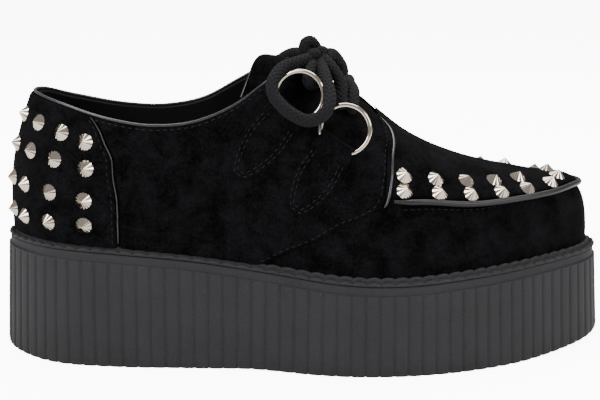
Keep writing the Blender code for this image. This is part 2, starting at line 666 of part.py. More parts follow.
LEAF = table("along half_width", (0.0, 0.769), (0.2, 0.885), (0.45, 0.942), (0.7, 0.788), (0.88, 0.538),
             (0.97, 0.269), (1.0, 0.0))
RING_CENTRES = placed((-0.0104, 0.8473), (0.0576, 0.6967))
TAB_TIPS = placed((-0.1072, 0.4879), (-0.0180, 0.3275))
BAR_HALF = 0.75 * RING_RADIUS
ROLL_HALF = BAR_HALF - RING_WIRE      # the fold stops just inside the ring's corners
BORE_HALF = BAR_HALF + RING_WIRE
CENTRE_TO_BAR = math.sqrt(RING_RADIUS ** 2 - BAR_HALF ** 2)
for index, place in enumerate(("rear", "front")):
    centre = RING_CENTRES[index]
    tip = TAB_TIPS[index]
    up_leaf = (centre - tip) / np.linalg.norm(centre - tip)
    hinge = centre - up_leaf * CENTRE_TO_BAR
    across_leaf = np.array([up_leaf[1], -up_leaf[0]])
    length = np.linalg.norm(hinge - tip)
    steps = [0, 0.18, 0.36, 0.55, 0.72, 0.86, 0.96]
    half = curve(LEAF, "half_width", np.array(steps)) * RING_RADIUS
    right = [hinge - up_leaf * length * t + across_leaf * w for t, w in zip(steps, half)]
    left = [hinge - up_leaf * length * t - across_leaf * w for t, w in zip(steps, half)]
    leaf_outline = right + [tip] + left[::-1]
    for side, word in ((LATERAL, "lateral"), (MEDIAL, "medial")):
        name = f"{place}_{word}"
        span = (0.18, 0.325) if side == LATERAL else (0.675, 0.82)
        lift = 2 * GAP + QUARTER_THICK
        tab = shell("ring_tab_" + name, SUEDE, *span, lift, lift + TAB_THICK)
        cut(tab, side_cutter("tab_cutter_" + name, leaf_outline, side), "INTERSECT")
        ends = []
        for sign in (-1, 1):
            turn, up = find_on_last(side, hinge[0] + sign * across_leaf[0] * BAR_HALF,
                                    z=hinge[1] + sign * across_leaf[1] * BAR_HALF)
            ends.append(on_last(turn, up, lift))
        turn, up = find_on_last(side, hinge[0], z=hinge[1])
        outward = last_normal(turn, up)
        middle = on_last(turn, up, lift + 0.9 * TAB_ROLL)
        bar = (ends[1] - ends[0]) / np.linalg.norm(ends[1] - ends[0])
        outward = outward - bar * outward.dot(bar)
        outward /= np.linalg.norm(outward)
        forward = np.cross(bar, outward)
        forward *= math.copysign(1, forward[0] * up_leaf[0] + forward[2] * up_leaf[1])
        lean = forward * math.cos(RING_TILT) + outward * math.sin(RING_TILT)
        sweep = math.pi - math.asin(BAR_HALF / RING_RADIUS)
        arc = [middle + lean * (CENTRE_TO_BAR + RING_RADIUS * math.cos(t)) + bar * RING_RADIUS * math.sin(t)
               for t in np.linspace(-sweep, sweep, 14)]
        tube("ring_" + name, NICKEL, arc, RING_WIRE, closed=True)
        fold = [middle - bar * ROLL_HALF, middle + bar * ROLL_HALF]
        roll = tube("tab_roll_" + name, SUEDE, fold, TAB_ROLL)
        through = [middle - bar * BORE_HALF, middle + bar * BORE_HALF]
        bore = tube("tab_bore_" + name, SUEDE, through, RING_WIRE + GAP)
        cut(tab, as_helper(roll), "UNION")
        cut(tab, as_helper(bore), "DIFFERENCE")

# Lace: a bar between the front rings, a knot between the rear rings, a loop on each side.
# The bar's path is in shares of BALL_WIDTH across, and of LACE_RADIUS above the last.

def over_throat(x, ys, lifts):
    """Points across the throat at x, at the given lifts above the last."""
    points = []
    for y, lift in zip(ys, lifts):
        side = LATERAL if y < SLOT_MIDDLE else MEDIAL
        turn, up = find_on_last(side, x, y=y)
        points.append(on_last(turn, up, lift))
    return points


BAR_PATH = table("across lift",
                 (-0.2454, 2.04), (-0.1944, 2.11), (-0.1389, 2.19), (-0.0741, 1.51), (0.0046, 0.68),
                 (0.0926, 1.51), (0.1667, 2.19), (0.2222, 2.11), (0.2731, 2.04))
BAR_PLACE = 0.0683 * SHOE_LENGTH
lace_bar = over_throat(BAR_PLACE, BAR_PATH["across"] * BALL_WIDTH, BAR_PATH["lift"] * LACE_RADIUS)
tube("lace_bar", LACE, smooth_through(lace_bar, 2), LACE_RADIUS, sides_step=2)
KNOT = placed((0.0054, -0.2269, 0.9066), (0.0126, -0.1713, 0.9703), (0.0198, -0.1019, 1.0132),
              (0.0234, -0.0370, 1.0286), (0.0234, 0.0463, 1.0286), (0.0198, 0.1204, 1.0132),
              (0.0126, 0.1880, 0.9670), (0.0050, 0.2407, 0.9011))
NUB = placed((0.0187, -0.0269, 1.0484), (0.0108, -0.0269, 1.0835), (0.0022, -0.0222, 1.1121),
             (-0.0022, 0.0000, 1.1209), (0.0022, 0.0222, 1.1121), (0.0108, 0.0269, 1.0835),
             (0.0187, 0.0269, 1.0484))
LOOP_NEAR = placed((-0.0072, -0.1065, 1.0396), (-0.0306, -0.2130, 1.0198), (-0.0511, -0.3148, 0.9451),
                   (-0.0460, -0.3704, 0.8681), (-0.0270, -0.4056, 0.8088), (-0.0018, -0.4213, 0.7758),
                   (0.0234, -0.4130, 0.8000), (0.0381, -0.3519, 0.8736), (0.0417, -0.2407, 0.9560),
                   (0.0417, -0.1157, 1.0154))
LOOP_FAR = placed((-0.0058, 0.1065, 1.0440), (-0.0360, 0.2500, 1.0286), (-0.0540, 0.3565, 0.9231),
                  (-0.0324, 0.4213, 0.8275), (0.0126, 0.4426, 0.7846), (0.0558, 0.4167, 0.8132),
                  (0.0705, 0.2870, 0.9341), (0.0403, 0.1111, 1.0264))
knot = tube("lace_knot", LACE, smooth_through(KNOT, 2), LACE_RADIUS, sides_step=2)
nub = tube("lace_nub", LACE, smooth_through(NUB, 1), LACE_RADIUS, sides_step=2)
cut(knot, as_helper(nub), "UNION")
tube("lace_loop_near", LACE, smooth_through(LOOP_NEAR, 2), LACE_RADIUS, sides_step=2)
tube("lace_loop_far", LACE, smooth_through(LOOP_FAR, 2), LACE_RADIUS, sides_step=2)
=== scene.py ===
import math

import bmesh
import bpy
import numpy as np
from mathutils import Matrix, Vector


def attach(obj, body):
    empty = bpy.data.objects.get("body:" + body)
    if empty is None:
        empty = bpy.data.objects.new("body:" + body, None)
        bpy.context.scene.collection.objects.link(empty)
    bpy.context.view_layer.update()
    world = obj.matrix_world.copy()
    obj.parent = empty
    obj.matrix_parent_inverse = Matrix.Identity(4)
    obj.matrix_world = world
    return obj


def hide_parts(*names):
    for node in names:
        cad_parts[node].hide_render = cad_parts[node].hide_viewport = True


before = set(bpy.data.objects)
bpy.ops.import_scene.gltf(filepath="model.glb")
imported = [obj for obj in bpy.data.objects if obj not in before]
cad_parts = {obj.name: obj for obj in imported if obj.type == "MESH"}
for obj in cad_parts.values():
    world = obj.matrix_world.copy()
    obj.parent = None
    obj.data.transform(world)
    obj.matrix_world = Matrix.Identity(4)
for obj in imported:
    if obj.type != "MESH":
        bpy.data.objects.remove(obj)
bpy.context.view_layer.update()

# Camera and studio.
# The photograph looks level at the outer side from a little above, with a long lens.
camera_lens = bpy.data.cameras.new("camera")
camera = bpy.data.objects.new("camera", camera_lens)
camera.location = (-0.0026, -0.5426, 0.177)
camera.rotation_euler = (math.radians(78.5), 0, 0)
camera_lens.lens = 72.72
camera_lens.sensor_width = 36
bpy.context.scene.collection.objects.link(camera)
bpy.context.scene.camera = camera


def linear(hex_colour):
    """An sRGB hex colour as linear light."""
    parts = [int(hex_colour[i:i + 2], 16) / 255 for i in (1, 3, 5)]
    return tuple(c / 12.92 if c <= 0.04045 else ((c + 0.055) / 1.055) ** 2.4 for c in parts) + (1.0,)


def node(tree, kind, settings=None, **links):
    """Add a node with its settings; links give its inputs, by name or as i0, i1, a value or another's socket."""
    made = tree.nodes.new("ShaderNode" + kind)
    for key, value in (settings or {}).items():
        setattr(made, key, value)
    for key, value in links.items():
        numbered = key[0] == "i" and key[1:].isdigit()
        socket = made.inputs[int(key[1:]) if numbered else key.replace("_", " ")]
        if isinstance(value, bpy.types.NodeSocket):
            tree.links.new(value, socket)
        else:
            socket.default_value = value
    return made


def new_material(name):
    """A material with an empty tree, and its coordinates."""
    made = bpy.data.materials.new(name)
    made.use_nodes = True
    tree = made.node_tree
    tree.nodes.clear()
    return made, tree, tree.nodes.new("ShaderNodeTexCoord")


def close(tree, shader):
    """Lead the last shader to the material's output."""
    output = tree.nodes.new("ShaderNodeOutputMaterial")
    tree.links.new(shader.outputs[0], output.inputs[0])


# The paper and the room behind it are overexposed to near white, without adding light to the shoe
PAPER_GLOW = 9.0
ROOM_LIGHT = 0.5
paper, tree, _ = new_material("studio_paper")
seen = node(tree, "LightPath")
glow = node(tree, "Math", {"operation": "MULTIPLY"}, i0=seen.outputs["Is Camera Ray"], i1=PAPER_GLOW)
close(tree, node(tree, "BsdfPrincipled", Base_Color=linear("#FDFDFD"), Roughness=1.0, Specular_IOR_Level=0.0,
                 Emission_Color=linear("#FFFFFF"), Emission_Strength=glow.outputs[0]))
sheet = bmesh.new()
bmesh.ops.create_grid(sheet, x_segments=1, y_segments=1, size=4.0)
floor_mesh = bpy.data.meshes.new("floor")
sheet.to_mesh(floor_mesh)
sheet.free()
floor_mesh.materials.append(paper)
floor = bpy.data.objects.new("floor", floor_mesh)
bpy.context.scene.collection.objects.link(floor)

world = bpy.data.worlds.new("studio")
bpy.context.scene.world = world
world.use_nodes = True
room = world.node_tree.nodes["Background"]
room.inputs["Color"].default_value = linear("#FFFFFF")
seen = node(world.node_tree, "LightPath")
glow = node(world.node_tree, "Math", {"operation": "MULTIPLY_ADD"}, i0=seen.outputs["Is Camera Ray"],
            i1=PAPER_GLOW, i2=ROOM_LIGHT)
world.node_tree.links.new(glow.outputs[0], room.inputs["Strength"])
for name, spot, aim, size, power in (("softbox_left", (-1.1, -0.9, 1.1), (0, 0, 0.06), 0.9, 36),
                                     ("softbox_right", (1.2, -0.7, 0.9), (0, 0, 0.06), 0.8, 22),
                                     ("softbox_top", (0.1, 0.5, 1.5), (0, 0, 0.05), 1.2, 34)):
    light = bpy.data.lights.new(name, "AREA")
    light.size = size
    light.energy = power
    lamp = bpy.data.objects.new(name, light)
    lamp.location = spot
    lamp.rotation_euler = (Vector(aim) - Vector(spot)).to_track_quat("-Z", "Y").to_euler()
    bpy.context.scene.collection.objects.link(lamp)

# Platform sole.
# One thick moulding of black rubber foam, with broad vertical flutes round its wall under a smooth band.
# The mould leaves it matt, slightly grey with dust in the flutes.
SHOE_LENGTH = 0.278
BALL_WIDTH = 0.108
HEEL_HEIGHT = 0.0518
FOREPART_HEIGHT = 0.039
WALL_FLARE = 0.0025
RIBS_A_SIDE = 53
COLUMNS_A_RIB = 10
FLUTE_DEPTH = 0.0008
FOOT_ROUNDING = 0.0008
BAND_HEIGHT = 0.0040


def table(columns, *rows):
    """Rows of numbers as named columns."""
    return dict(zip(columns.split(), np.array(rows, float).T))


def curve(columns, name, at):
    """A smooth curve through one column, with slopes taken from its neighbours."""
    knots = columns[next(iter(columns))]
    values = columns[name]
    slope = np.diff(values) / np.diff(knots)
    bend = np.concatenate([slope[:1], (slope[1:] + slope[:-1]) / 2, slope[-1:]])
    at = np.asarray(at, float)
    i = np.clip(np.searchsorted(knots, at, "right") - 1, 0, len(knots) - 2)
    span = knots[i + 1] - knots[i]
    t = (at - knots[i]) / span
    return ((2 * t ** 3 - 3 * t ** 2 + 1) * values[i] + (t ** 3 - 2 * t ** 2 + t) * span * bend[i]
            + (3 * t ** 2 - 2 * t ** 3) * values[i + 1] + (t ** 3 - t ** 2) * span * bend[i + 1])


SOLE = table("along lateral medial middle",
             (0.00, 1.020, 1.220, 0.027), (0.08, 1.070, 1.120, 0.005), (0.20, 0.940, 0.960, 0.000),
             (0.34, 0.838, 0.800, 0.000), (0.46, 0.896, 0.790, 0.000), (0.58, 1.015, 0.900, 0.000),
             (0.70, 1.071, 1.000, 0.020), (0.83, 1.115, 0.975, 0.083), (0.93, 1.078, 1.010, 0.125),
             (1.00, 1.120, 1.080, 0.150))
PLATFORM = table("along height",
                 (0.00, 1.00), (0.14, 0.93), (0.28, 0.74), (0.42, 0.40), (0.55, 0.07),
                 (0.64, 0.00), (0.76, 0.12), (0.88, 0.25), (1.00, 0.32))


def raw_outline(turn):
    turn = np.asarray(turn, float) % 1
    along = (1 - np.cos(2 * np.pi * turn)) / 2
    fullness = np.where(turn <= 0.5, curve(SOLE, "lateral", along), curve(SOLE, "medial", along))
    across = BALL_WIDTH * curve(SOLE, "middle", along) - fullness * BALL_WIDTH / 2 * np.sin(2 * np.pi * turn)
    return (along - 0.5) * SHOE_LENGTH, across


edge_across = raw_outline(np.linspace(0, 1, 2001))[1]
MIDDLE_SHIFT = (edge_across.max() + edge_across.min()) / 2


def outline(turn, inset=0.0):
    """The sole's outline moved inwards by inset."""
    x, y = raw_outline(turn)
    x1, y1 = raw_outline(np.asarray(turn) + 1e-4)
    x0, y0 = raw_outline(np.asarray(turn) - 1e-4)
    length = np.hypot(x1 - x0, y1 - y0)
    return x - (y1 - y0) / length * inset, y - MIDDLE_SHIFT + (x1 - x0) / length * inset


def platform_top(x):
    along = np.clip(x / SHOE_LENGTH + 0.5, 0, 1)
    return FOREPART_HEIGHT + (HEEL_HEIGHT - FOREPART_HEIGHT) * curve(PLATFORM, "height", along)


def tread(x):
    toe = np.clip((x - 0.31 * SHOE_LENGTH) / (0.19 * SHOE_LENGTH), 0, 1)
    waist = np.clip(1 - np.abs(x + 0.08 * SHOE_LENGTH) / (0.09 * SHOE_LENGTH), 0, 1)
    return 0.0035 * toe ** 2 + 0.0008 * (3 * waist ** 2 - 2 * waist ** 3)


def even_turns(count):
    """Turns spaced evenly along the outline, with one at heel and one at toe."""
    fine = np.linspace(0, 1, 4001)
    x, y = raw_outline(fine)
    run = np.concatenate([[0], np.cumsum(np.hypot(np.diff(x), np.diff(y)))])
    half = count // 2
    toe = run[len(fine) // 2]
    marks = np.concatenate([np.linspace(0, toe, half + 1)[:-1], np.linspace(toe, run[-1], half + 1)[:-1]])
    return np.interp(marks, run, fine)


def sheet_of(points, weld=2e-5):
    """A bmesh grid laid on an array of points, rows by columns; weld joins points that are closer."""
    rows, columns = points.shape[:2]
    bm = bmesh.new()
    bmesh.ops.create_grid(bm, x_segments=columns - 1, y_segments=rows - 1, size=0.5)
    for vert in bm.verts:
        column = round((vert.co.x + 0.5) * (columns - 1))
        row = round((vert.co.y + 0.5) * (rows - 1))
        vert.co = points[row, column]
    if weld:
        bmesh.ops.remove_doubles(bm, verts=bm.verts, dist=weld)
    return bm


def piece(bm, name, material, slot, *nodes, smooth=True, facing=True):
    """Make a bmesh a named piece of the shoe, in place of the given nodes."""
    if facing:
        bmesh.ops.recalc_face_normals(bm, faces=bm.faces)
    mesh = bpy.data.meshes.new(name)
    bm.to_mesh(mesh)
    bm.free()
    mesh.materials.append(material)
    if smooth:
        mesh.shade_smooth()
    made = bpy.data.objects.new(name, mesh)
    bpy.context.scene.collection.objects.link(made)
    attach(made, "root")
    if nodes:
        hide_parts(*nodes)
    return made


# Moulded rubber: matt, with fine mould grain of about 0.4 mm and paler dust speckled over it
rubber, tree, place = new_material("moulded_black_rubber")
cloud = node(tree, "TexNoise", Vector=place.outputs["Object"], Scale=60.0, Detail=6.0, Roughness=0.6)
grain = node(tree, "TexNoise", Vector=place.outputs["Object"], Scale=2400.0, Detail=3.0)
tint = node(tree, "ValToRGB", Fac=cloud.outputs["Fac"])
tint.color_ramp.elements[0].position = 0.30
tint.color_ramp.elements[0].color = linear("#131315")
tint.color_ramp.elements[1].position = 0.75
tint.color_ramp.elements[1].color = linear("#1B1B1D")
speckle = node(tree, "Mix", {"data_type": "RGBA", "blend_type": "MIX"}, i0=0.0, i6=tint.outputs["Color"],
               i7=linear("#38383B"))
dusty = node(tree, "MapRange", Value=grain.outputs["Fac"], From_Min=0.50, From_Max=0.80, To_Min=0.0,
             To_Max=0.5)
tree.links.new(dusty.outputs["Result"], speckle.inputs[0])
relief = node(tree, "Bump", Strength=0.35, Distance=0.0003, Height=grain.outputs["Fac"])
close(tree, node(tree, "BsdfPrincipled", Base_Color=speckle.outputs[2], Roughness=0.72,
                 Specular_IOR_Level=0.28, Normal=relief.outputs["Normal"]))

turns = np.append(even_turns(RIBS_A_SIDE * 2 * COLUMNS_A_RIB), 1.0)
phase = (np.arange(len(turns)) % COLUMNS_A_RIB) / COLUMNS_A_RIB
flute = FLUTE_DEPTH * np.abs(2 * phase - 1) ** 5
wall_rows = []
for share in (0.0, 0.02, 0.06, 0.2, 0.4, 0.6, 0.8, 0.96, 0.99, 1.0):
    round_foot = FOOT_ROUNDING * max(0.0, 1 - share / 0.06) ** 2
    fade = min(1.0, (1 - share) / 0.012)
    x, y = outline(turns, WALL_FLARE * 0.92 * share + flute * fade + round_foot)
    low = tread(x)
    top = platform_top(x) - BAND_HEIGHT
    wall_rows.append(np.stack([x, y, low + (top - low) * share], -1))
for inset, drop in ((0.0002, 0.00385), (0.0007, 0.0037), (0.0009, 0.0030), (0.0009, 0.0012),
                    (0.0011, 0.0004), (0.0016, 0.0), (0.0045, 0.0)):
    x, y = outline(turns, WALL_FLARE * 0.95 + inset)
    wall_rows.append(np.stack([x, y, platform_top(x) - drop], -1))
x, y = raw_outline(turns)
spine = np.stack([x * 0.96, (y + raw_outline(1 - turns)[1]) / 2 - MIDDLE_SHIFT], -1)
inner_rows = []
for share in (0.35, 0.7, 1.0):
    flat = wall_rows[-1][:, :2] * (1 - share) + spine * share
    inner_rows.append(np.concatenate([flat, platform_top(flat[:, :1])], -1))
under_rows = []
for share in (1.0, 0.7, 0.35, 0.05):
    flat = wall_rows[0][:, :2] * (1 - share) + spine * share
    under_rows.append(np.concatenate([flat, tread(flat[:, :1])], -1))
sole = sheet_of(np.array(under_rows + wall_rows + inner_rows))
piece(sole, "platform_sole", rubber, "moulded_rubber", "outsole")

# Welt.
# A rubber rim moulded on the platform's edge to look like a stitched one: a groove between two rows of beads,
# a low outer row that rounds over the edge and a taller inner row that leans on the upper.
WELT = table("inset rise beads",
             (0.0006, 0.0001, 0.0), (0.0002, 0.0007, 0.3), (0.0007, 0.0014, 1.0), (0.0014, 0.0017, 1.0),
             (0.0019, 0.0012, 0.6), (0.0021, 0.0001, 0.0), (0.0029, 0.0001, 0.0), (0.0031, 0.0018, 0.6),
             (0.0035, 0.0028, 1.0), (0.0040, 0.0032, 1.0), (0.0046, 0.0029, 0.5), (0.0048, 0.0012, 0.0),
             (0.0048, 0.0001, 0.0))
WELT_BEADS = 104
COLUMNS_A_BEAD = 10
BEAD_OUT = 0.0006
BEAD_UP = 0.0009
turns = np.append(even_turns(WELT_BEADS * COLUMNS_A_BEAD), 1.0)
bead = np.abs(np.cos(np.pi * np.arange(len(turns)) / COLUMNS_A_BEAD)) ** 0.7
welt_rows = []
for inset, rise, beads in zip(WELT["inset"], WELT["rise"], WELT["beads"]):
    x, y = outline(turns, WALL_FLARE + inset - BEAD_OUT * beads * (bead - 0.5))
    welt_rows.append(np.stack([x, y, platform_top(x) + rise + BEAD_UP * beads * (bead - 0.7)], -1))
welt = sheet_of(np.array(welt_rows + welt_rows[:1]))
piece(welt, "welt_rim", rubber, "moulded_rubber", "welt")

# Upper.
# Black suede pulled over the last and lined with smooth leather: one closed shell from welt to collar, open
# underneath, with a throat slot over the instep. Its flex has left soft creases at the vamp and the heel.
INSTEP_HEIGHT = 0.091
FEATHER_INSET = 0.0045
COLLAR_FRONT = 0.260
SLOT_HALF = 0.015
SLOT_FRONT = 0.024
SLOT_MIDDLE = 0.0015
THROAT_REAR = -0.03
THROAT_LOW = 0.08
UPPER_WALL = 0.0019
LAST = table("turn top_along lateral_height medial_height lateral medial swell rise reach drop",
             (0.000, 0.0647, 0.857, 0.857, 0.010, 0.010, 0.020, 0.45, 0.080, 0.34),
             (0.050, 0.0755, 0.848, 0.848, -0.085, 0.100, 0.020, 0.45, 0.080, 0.34),
             (0.100, 0.1150, 0.816, 0.805, -0.181, 0.190, 0.018, 0.45, 0.070, 0.34),
             (0.150, 0.2014, 0.749, 0.745, -0.273, 0.280, 0.010, 0.42, 0.040, 0.34),
             (0.175, 0.2626, 0.724, 0.738, -0.292, 0.292, 0.010, 0.40, 0.035, 0.32),
             (0.200, 0.3310, 0.742, 0.782, -0.282, 0.280, 0.010, 0.40, 0.045, 0.30),
             (0.220, 0.3920, 0.816, 0.885, -0.245, 0.243, 0.010, 0.40, 0.072, 0.26),
             (0.235, 0.4390, 0.915, 0.962, -0.194, 0.199, 0.011, 0.40, 0.110, 0.22),
             (0.248, 0.4780, 0.992, 1.000, -0.111, 0.125, 0.012, 0.42, 0.180, 0.16),
             (0.260, 0.5110, 1.003, 1.003, 0.014, 0.014, 0.012, 0.45, 0.290, 0.11),
             (0.275, 0.5540, 0.899, 0.899, 0.014, 0.014, 0.012, 0.48, 0.300, 0.10),
             (0.295, 0.6080, 0.760, 0.760, 0.016, 0.016, 0.012, 0.52, 0.300, 0.09),
             (0.315, 0.6550, 0.643, 0.643, 0.020, 0.020, 0.012, 0.57, 0.300, 0.07),
             (0.350, 0.7300, 0.527, 0.527, 0.037, 0.037, 0.010, 0.66, 0.285, 0.06),
             (0.400, 0.8270, 0.448, 0.448, 0.065, 0.065, 0.008, 0.74, 0.260, 0.05),
             (0.450, 0.8780, 0.424, 0.424, 0.100, 0.100, 0.006, 0.80, 0.190, 0.05),
             (0.500, 0.9030, 0.418, 0.418, 0.125, 0.125, 0.004, 0.82, 0.140, 0.05))


def both_sides(half):
    """The sections of both sides as one table that runs past a full turn at each end."""
    back = np.arange(len(half["turn"]))[::-1][1:-1]
    whole = {"turn": np.concatenate([half["turn"], 1 - half["turn"][back]])}
    whole["height"] = np.concatenate([half["lateral_height"], half["medial_height"][back]])
    whole["across"] = np.concatenate([half["lateral"], half["medial"][back]])
    for name in ("top_along", "swell", "rise", "reach", "drop"):
        whole[name] = np.concatenate([half[name], half[name][back]])
    for name, column in whole.items():
        shift = 1.0 if name == "turn" else 0.0
        whole[name] = np.concatenate([column[-3:] - shift, column, column[:3] + shift])
    return whole


SECTIONS = both_sides(LAST)
# Soft troughs and ridges in the suede: turn, up, half-sizes, slant and depth in metres (minus is a ridge)
CREASES = ((0.205, 0.62, 0.010, 0.030, 0.5, 0.0009), (0.190, 0.50, 0.020, 0.022, -0.4, 0.0007),
           (0.214, 0.36, 0.008, 0.060, 0.2, 0.0008), (0.178, 0.66, 0.016, 0.020, 0.3, -0.0006),
           (0.226, 0.27, 0.006, 0.050, 0.4, 0.0007), (0.236, 0.44, 0.005, 0.060, 0.1, -0.0005),
           (0.262, 0.11, 0.010, 0.030, 0.4, 0.0008), (0.276, 0.17, 0.012, 0.022, 0.6, 0.0008),
           (0.290, 0.20, 0.012, 0.024, 0.5, -0.0006), (0.306, 0.24, 0.014, 0.030, 0.3, 0.0006),
           (0.168, 0.36, 0.020, 0.020, -0.3, 0.0006), (0.158, 0.20, 0.012, 0.030, 0.2, -0.0005),
           (0.785, 0.60, 0.012, 0.035, -0.4, 0.0008), (0.770, 0.34, 0.010, 0.050, 0.3, 0.0008),
           (0.815, 0.50, 0.020, 0.022, 0.3, 0.0007), (0.722, 0.18, 0.012, 0.026, -0.5, 0.0008),
           (0.738, 0.14, 0.012, 0.022, -0.5, -0.0006), (0.702, 0.26, 0.014, 0.030, -0.3, 0.0006))


def last_surface(turn, up):
    """Points on the outside of the upper, without its creases."""
    turn, up = np.broadcast_arrays(np.asarray(turn, float) % 1, np.asarray(up, float))
    foot_x, foot_y = outline(turn, WALL_FLARE + FEATHER_INSET)
    foot = np.stack([foot_x, foot_y, platform_top(foot_x) + 0.0003], -1)
    top = np.stack([(curve(SECTIONS, "top_along", turn) - 0.5) * SHOE_LENGTH,
                    curve(SECTIONS, "across", turn) * BALL_WIDTH,
                    FOREPART_HEIGHT + curve(SECTIONS, "height", turn) * INSTEP_HEIGHT], -1)
    out_x, out_y = outline(turn, 0)
    in_x, in_y = outline(turn, 1e-4)
    out = np.stack([out_x - in_x, out_y - in_y, np.zeros_like(out_x)], -1) / 1e-4
    level = foot - top
    height = -level[..., 2:]
    level[..., 2] = 0
    level /= np.linalg.norm(level, axis=-1, keepdims=True)
    rise = np.array([0, 0, 1.0])
    low = foot + out * curve(SECTIONS, "swell", turn)[..., None] * BALL_WIDTH \
        + rise * curve(SECTIONS, "rise", turn)[..., None] * height
    high = top + level * curve(SECTIONS, "reach", turn)[..., None] * BALL_WIDTH \
        - rise * curve(SECTIONS, "drop", turn)[..., None] * height
    t = up[..., None]
    return (1 - t) ** 3 * foot + 3 * t * (1 - t) ** 2 * low + 3 * t * t * (1 - t) * high + t ** 3 * top


def last_normal(turn, up):
    """Directions straight out of the upper; along its ridge both sides share one."""
    turn, up = np.broadcast_arrays(np.asarray(turn, float) % 1, np.asarray(up, float))
    step = 1e-3

    def facing(at):
        below_top = np.minimum(up, 0.985)
        around = last_surface(at + step, below_top) - last_surface(at - step, below_top)
        rising = last_surface(at, np.minimum(up + step, 1)) - last_surface(at, np.maximum(up - step, 0))
        normal = np.cross(around, rising)
        return normal / np.linalg.norm(normal, axis=-1, keepdims=True)

    normal = facing(turn)
    on_ridge = (turn > COLLAR_FRONT - 1e-6) & (turn < 1 - COLLAR_FRONT + 1e-6)
    shared = normal + facing(1 - turn)
    shared /= np.linalg.norm(shared, axis=-1, keepdims=True)
    return np.where((on_ridge & (up > 1 - 1e-6))[..., None], shared, normal)


def on_last(turn, up, lift=0.0):
    """Points above the last, with the suede's creases pressed in."""
    turn, up = np.broadcast_arrays(np.asarray(turn, float), np.asarray(up, float))
    dent = np.zeros_like(up)
    for at, high, wide, tall, slant, depth in CREASES:
        along = (turn % 1 - at) / wide
        rising = (up - high) / tall - slant * along
        dent += depth * np.exp(-along ** 2 - rising ** 2)
    lift = np.asarray(lift, float) - dent
    return last_surface(turn, up) + last_normal(turn, up) * lift[..., None]


def slot_up(turn):
    """How far up the last its leather runs at each turn before the throat slot cuts it."""
    turn = np.atleast_1d(np.asarray(turn, float))
    tries = np.linspace(0.55, 1.0, 181)
    at = last_surface(turn[:, None], tries[None, :])
    reach = np.clip((at[..., 0] - (SLOT_FRONT - SLOT_HALF)) / SLOT_HALF, 0, 1)
    half = SLOT_HALF * np.sqrt(1 - reach ** 2)
    open_here = (np.abs(at[..., 1] - SLOT_MIDDLE) < half) & (at[..., 0] < SLOT_FRONT)
    open_here &= (at[..., 0] > THROAT_REAR) & (at[..., 2] > THROAT_LOW)
    first = np.where(open_here.any(axis=1), open_here.argmax(axis=1), len(tries) - 1)
    return tries[first]


# Suede: a short nap that scatters light softly, brushed in clouds about a centimetre wide
def suede(name, dark, pale, sheen):
    made, tree, place = new_material(name)
    cloud = node(tree, "TexNoise", Vector=place.outputs["Object"], Scale=85.0, Detail=6.0, Roughness=0.70,
                 Distortion=0.4)
    nap = node(tree, "TexNoise", Vector=place.outputs["Object"], Scale=1000.0, Detail=4.0, Roughness=0.7)
    brushed = node(tree, "Mix", {"data_type": "FLOAT"}, i0=0.42, i2=cloud.outputs["Fac"],
                   i3=nap.outputs["Fac"])
    tint = node(tree, "ValToRGB", Fac=brushed.outputs[0])
    tint.color_ramp.elements[0].position = 0.41
    tint.color_ramp.elements[0].color = linear(dark)
    tint.color_ramp.elements[1].position = 0.64
    tint.color_ramp.elements[1].color = linear(pale)
    relief = node(tree, "Bump", Strength=0.9, Distance=0.0006, Height=nap.outputs["Fac"])
    close(tree, node(tree, "BsdfPrincipled", Base_Color=tint.outputs["Color"], Roughness=0.95,
                     Specular_IOR_Level=0.03, Sheen_Weight=sheen, Sheen_Roughness=0.45,
                     Sheen_Tint=linear("#8E8E92"), Normal=relief.outputs["Normal"]))
    return made


black_suede = suede("black_suede", "#010101", "#111113", 0.01)

# Lining: smooth black leather with fine pores, a little glossier than the suede
lining, tree, place = new_material("black_lining_leather")
pores = node(tree, "TexVoronoi", Vector=place.outputs["Object"], Scale=900.0)
relief = node(tree, "Bump", Strength=0.25, Distance=0.0002, Height=pores.outputs["Distance"])
close(tree, node(tree, "BsdfPrincipled", Base_Color=linear("#050506"), Roughness=0.62, Specular_IOR_Level=0.2,
                 Normal=relief.outputs["Normal"]))

turns = np.unique(np.concatenate([np.linspace(0, 1, 361), np.linspace(0.24, 0.30, 61),
                                  np.linspace(0.70, 0.76, 61)]))
shares = np.linspace(0, 1, 64)[:, None]
upper_rows = shares * slot_up(turns)[None, :]
shell = sheet_of(on_last(turns[None, :], upper_rows))
bmesh.ops.recalc_face_normals(shell, faces=shell.faces)
upper = piece(shell, "upper_shell", black_suede, "suede", "upper", facing=False)
upper.data.materials.append(lining)
wall = upper.modifiers.new("lined_wall", "SOLIDIFY")
wall.thickness = UPPER_WALL
wall.offset = -1
wall.material_offset = 1
wall.material_offset_rim = 0

# Insole.
# A thin footbed covered in smooth black leather, glued on the platform inside the upper.
BED_CLEARANCE = 0.0026
BED_EDGE = 0.0033
BED_TOP = 0.0042
turns = np.append(even_turns(240), 1.0)
x, y = outline(turns, WALL_FLARE + FEATHER_INSET + BED_CLEARANCE)
edge = np.stack([x, y, platform_top(x) + 0.0004], -1)
raw_x, raw_y = raw_outline(turns)
spine = np.stack([raw_x * 0.93, (raw_y + raw_outline(1 - turns)[1]) / 2 - MIDDLE_SHIFT], -1)
bed_rows = [edge, edge + (0, 0, BED_EDGE)]
for share in (0.02, 0.06, 0.3, 0.6, 1.0):
    flat = edge[:, :2] * (1 - share) + spine * share
    bed_rows.append(np.concatenate([flat, platform_top(flat[:, :1]) + BED_TOP], -1))
footbed = sheet_of(np.array(bed_rows))
piece(footbed, "footbed", lining, "lining", "insole")

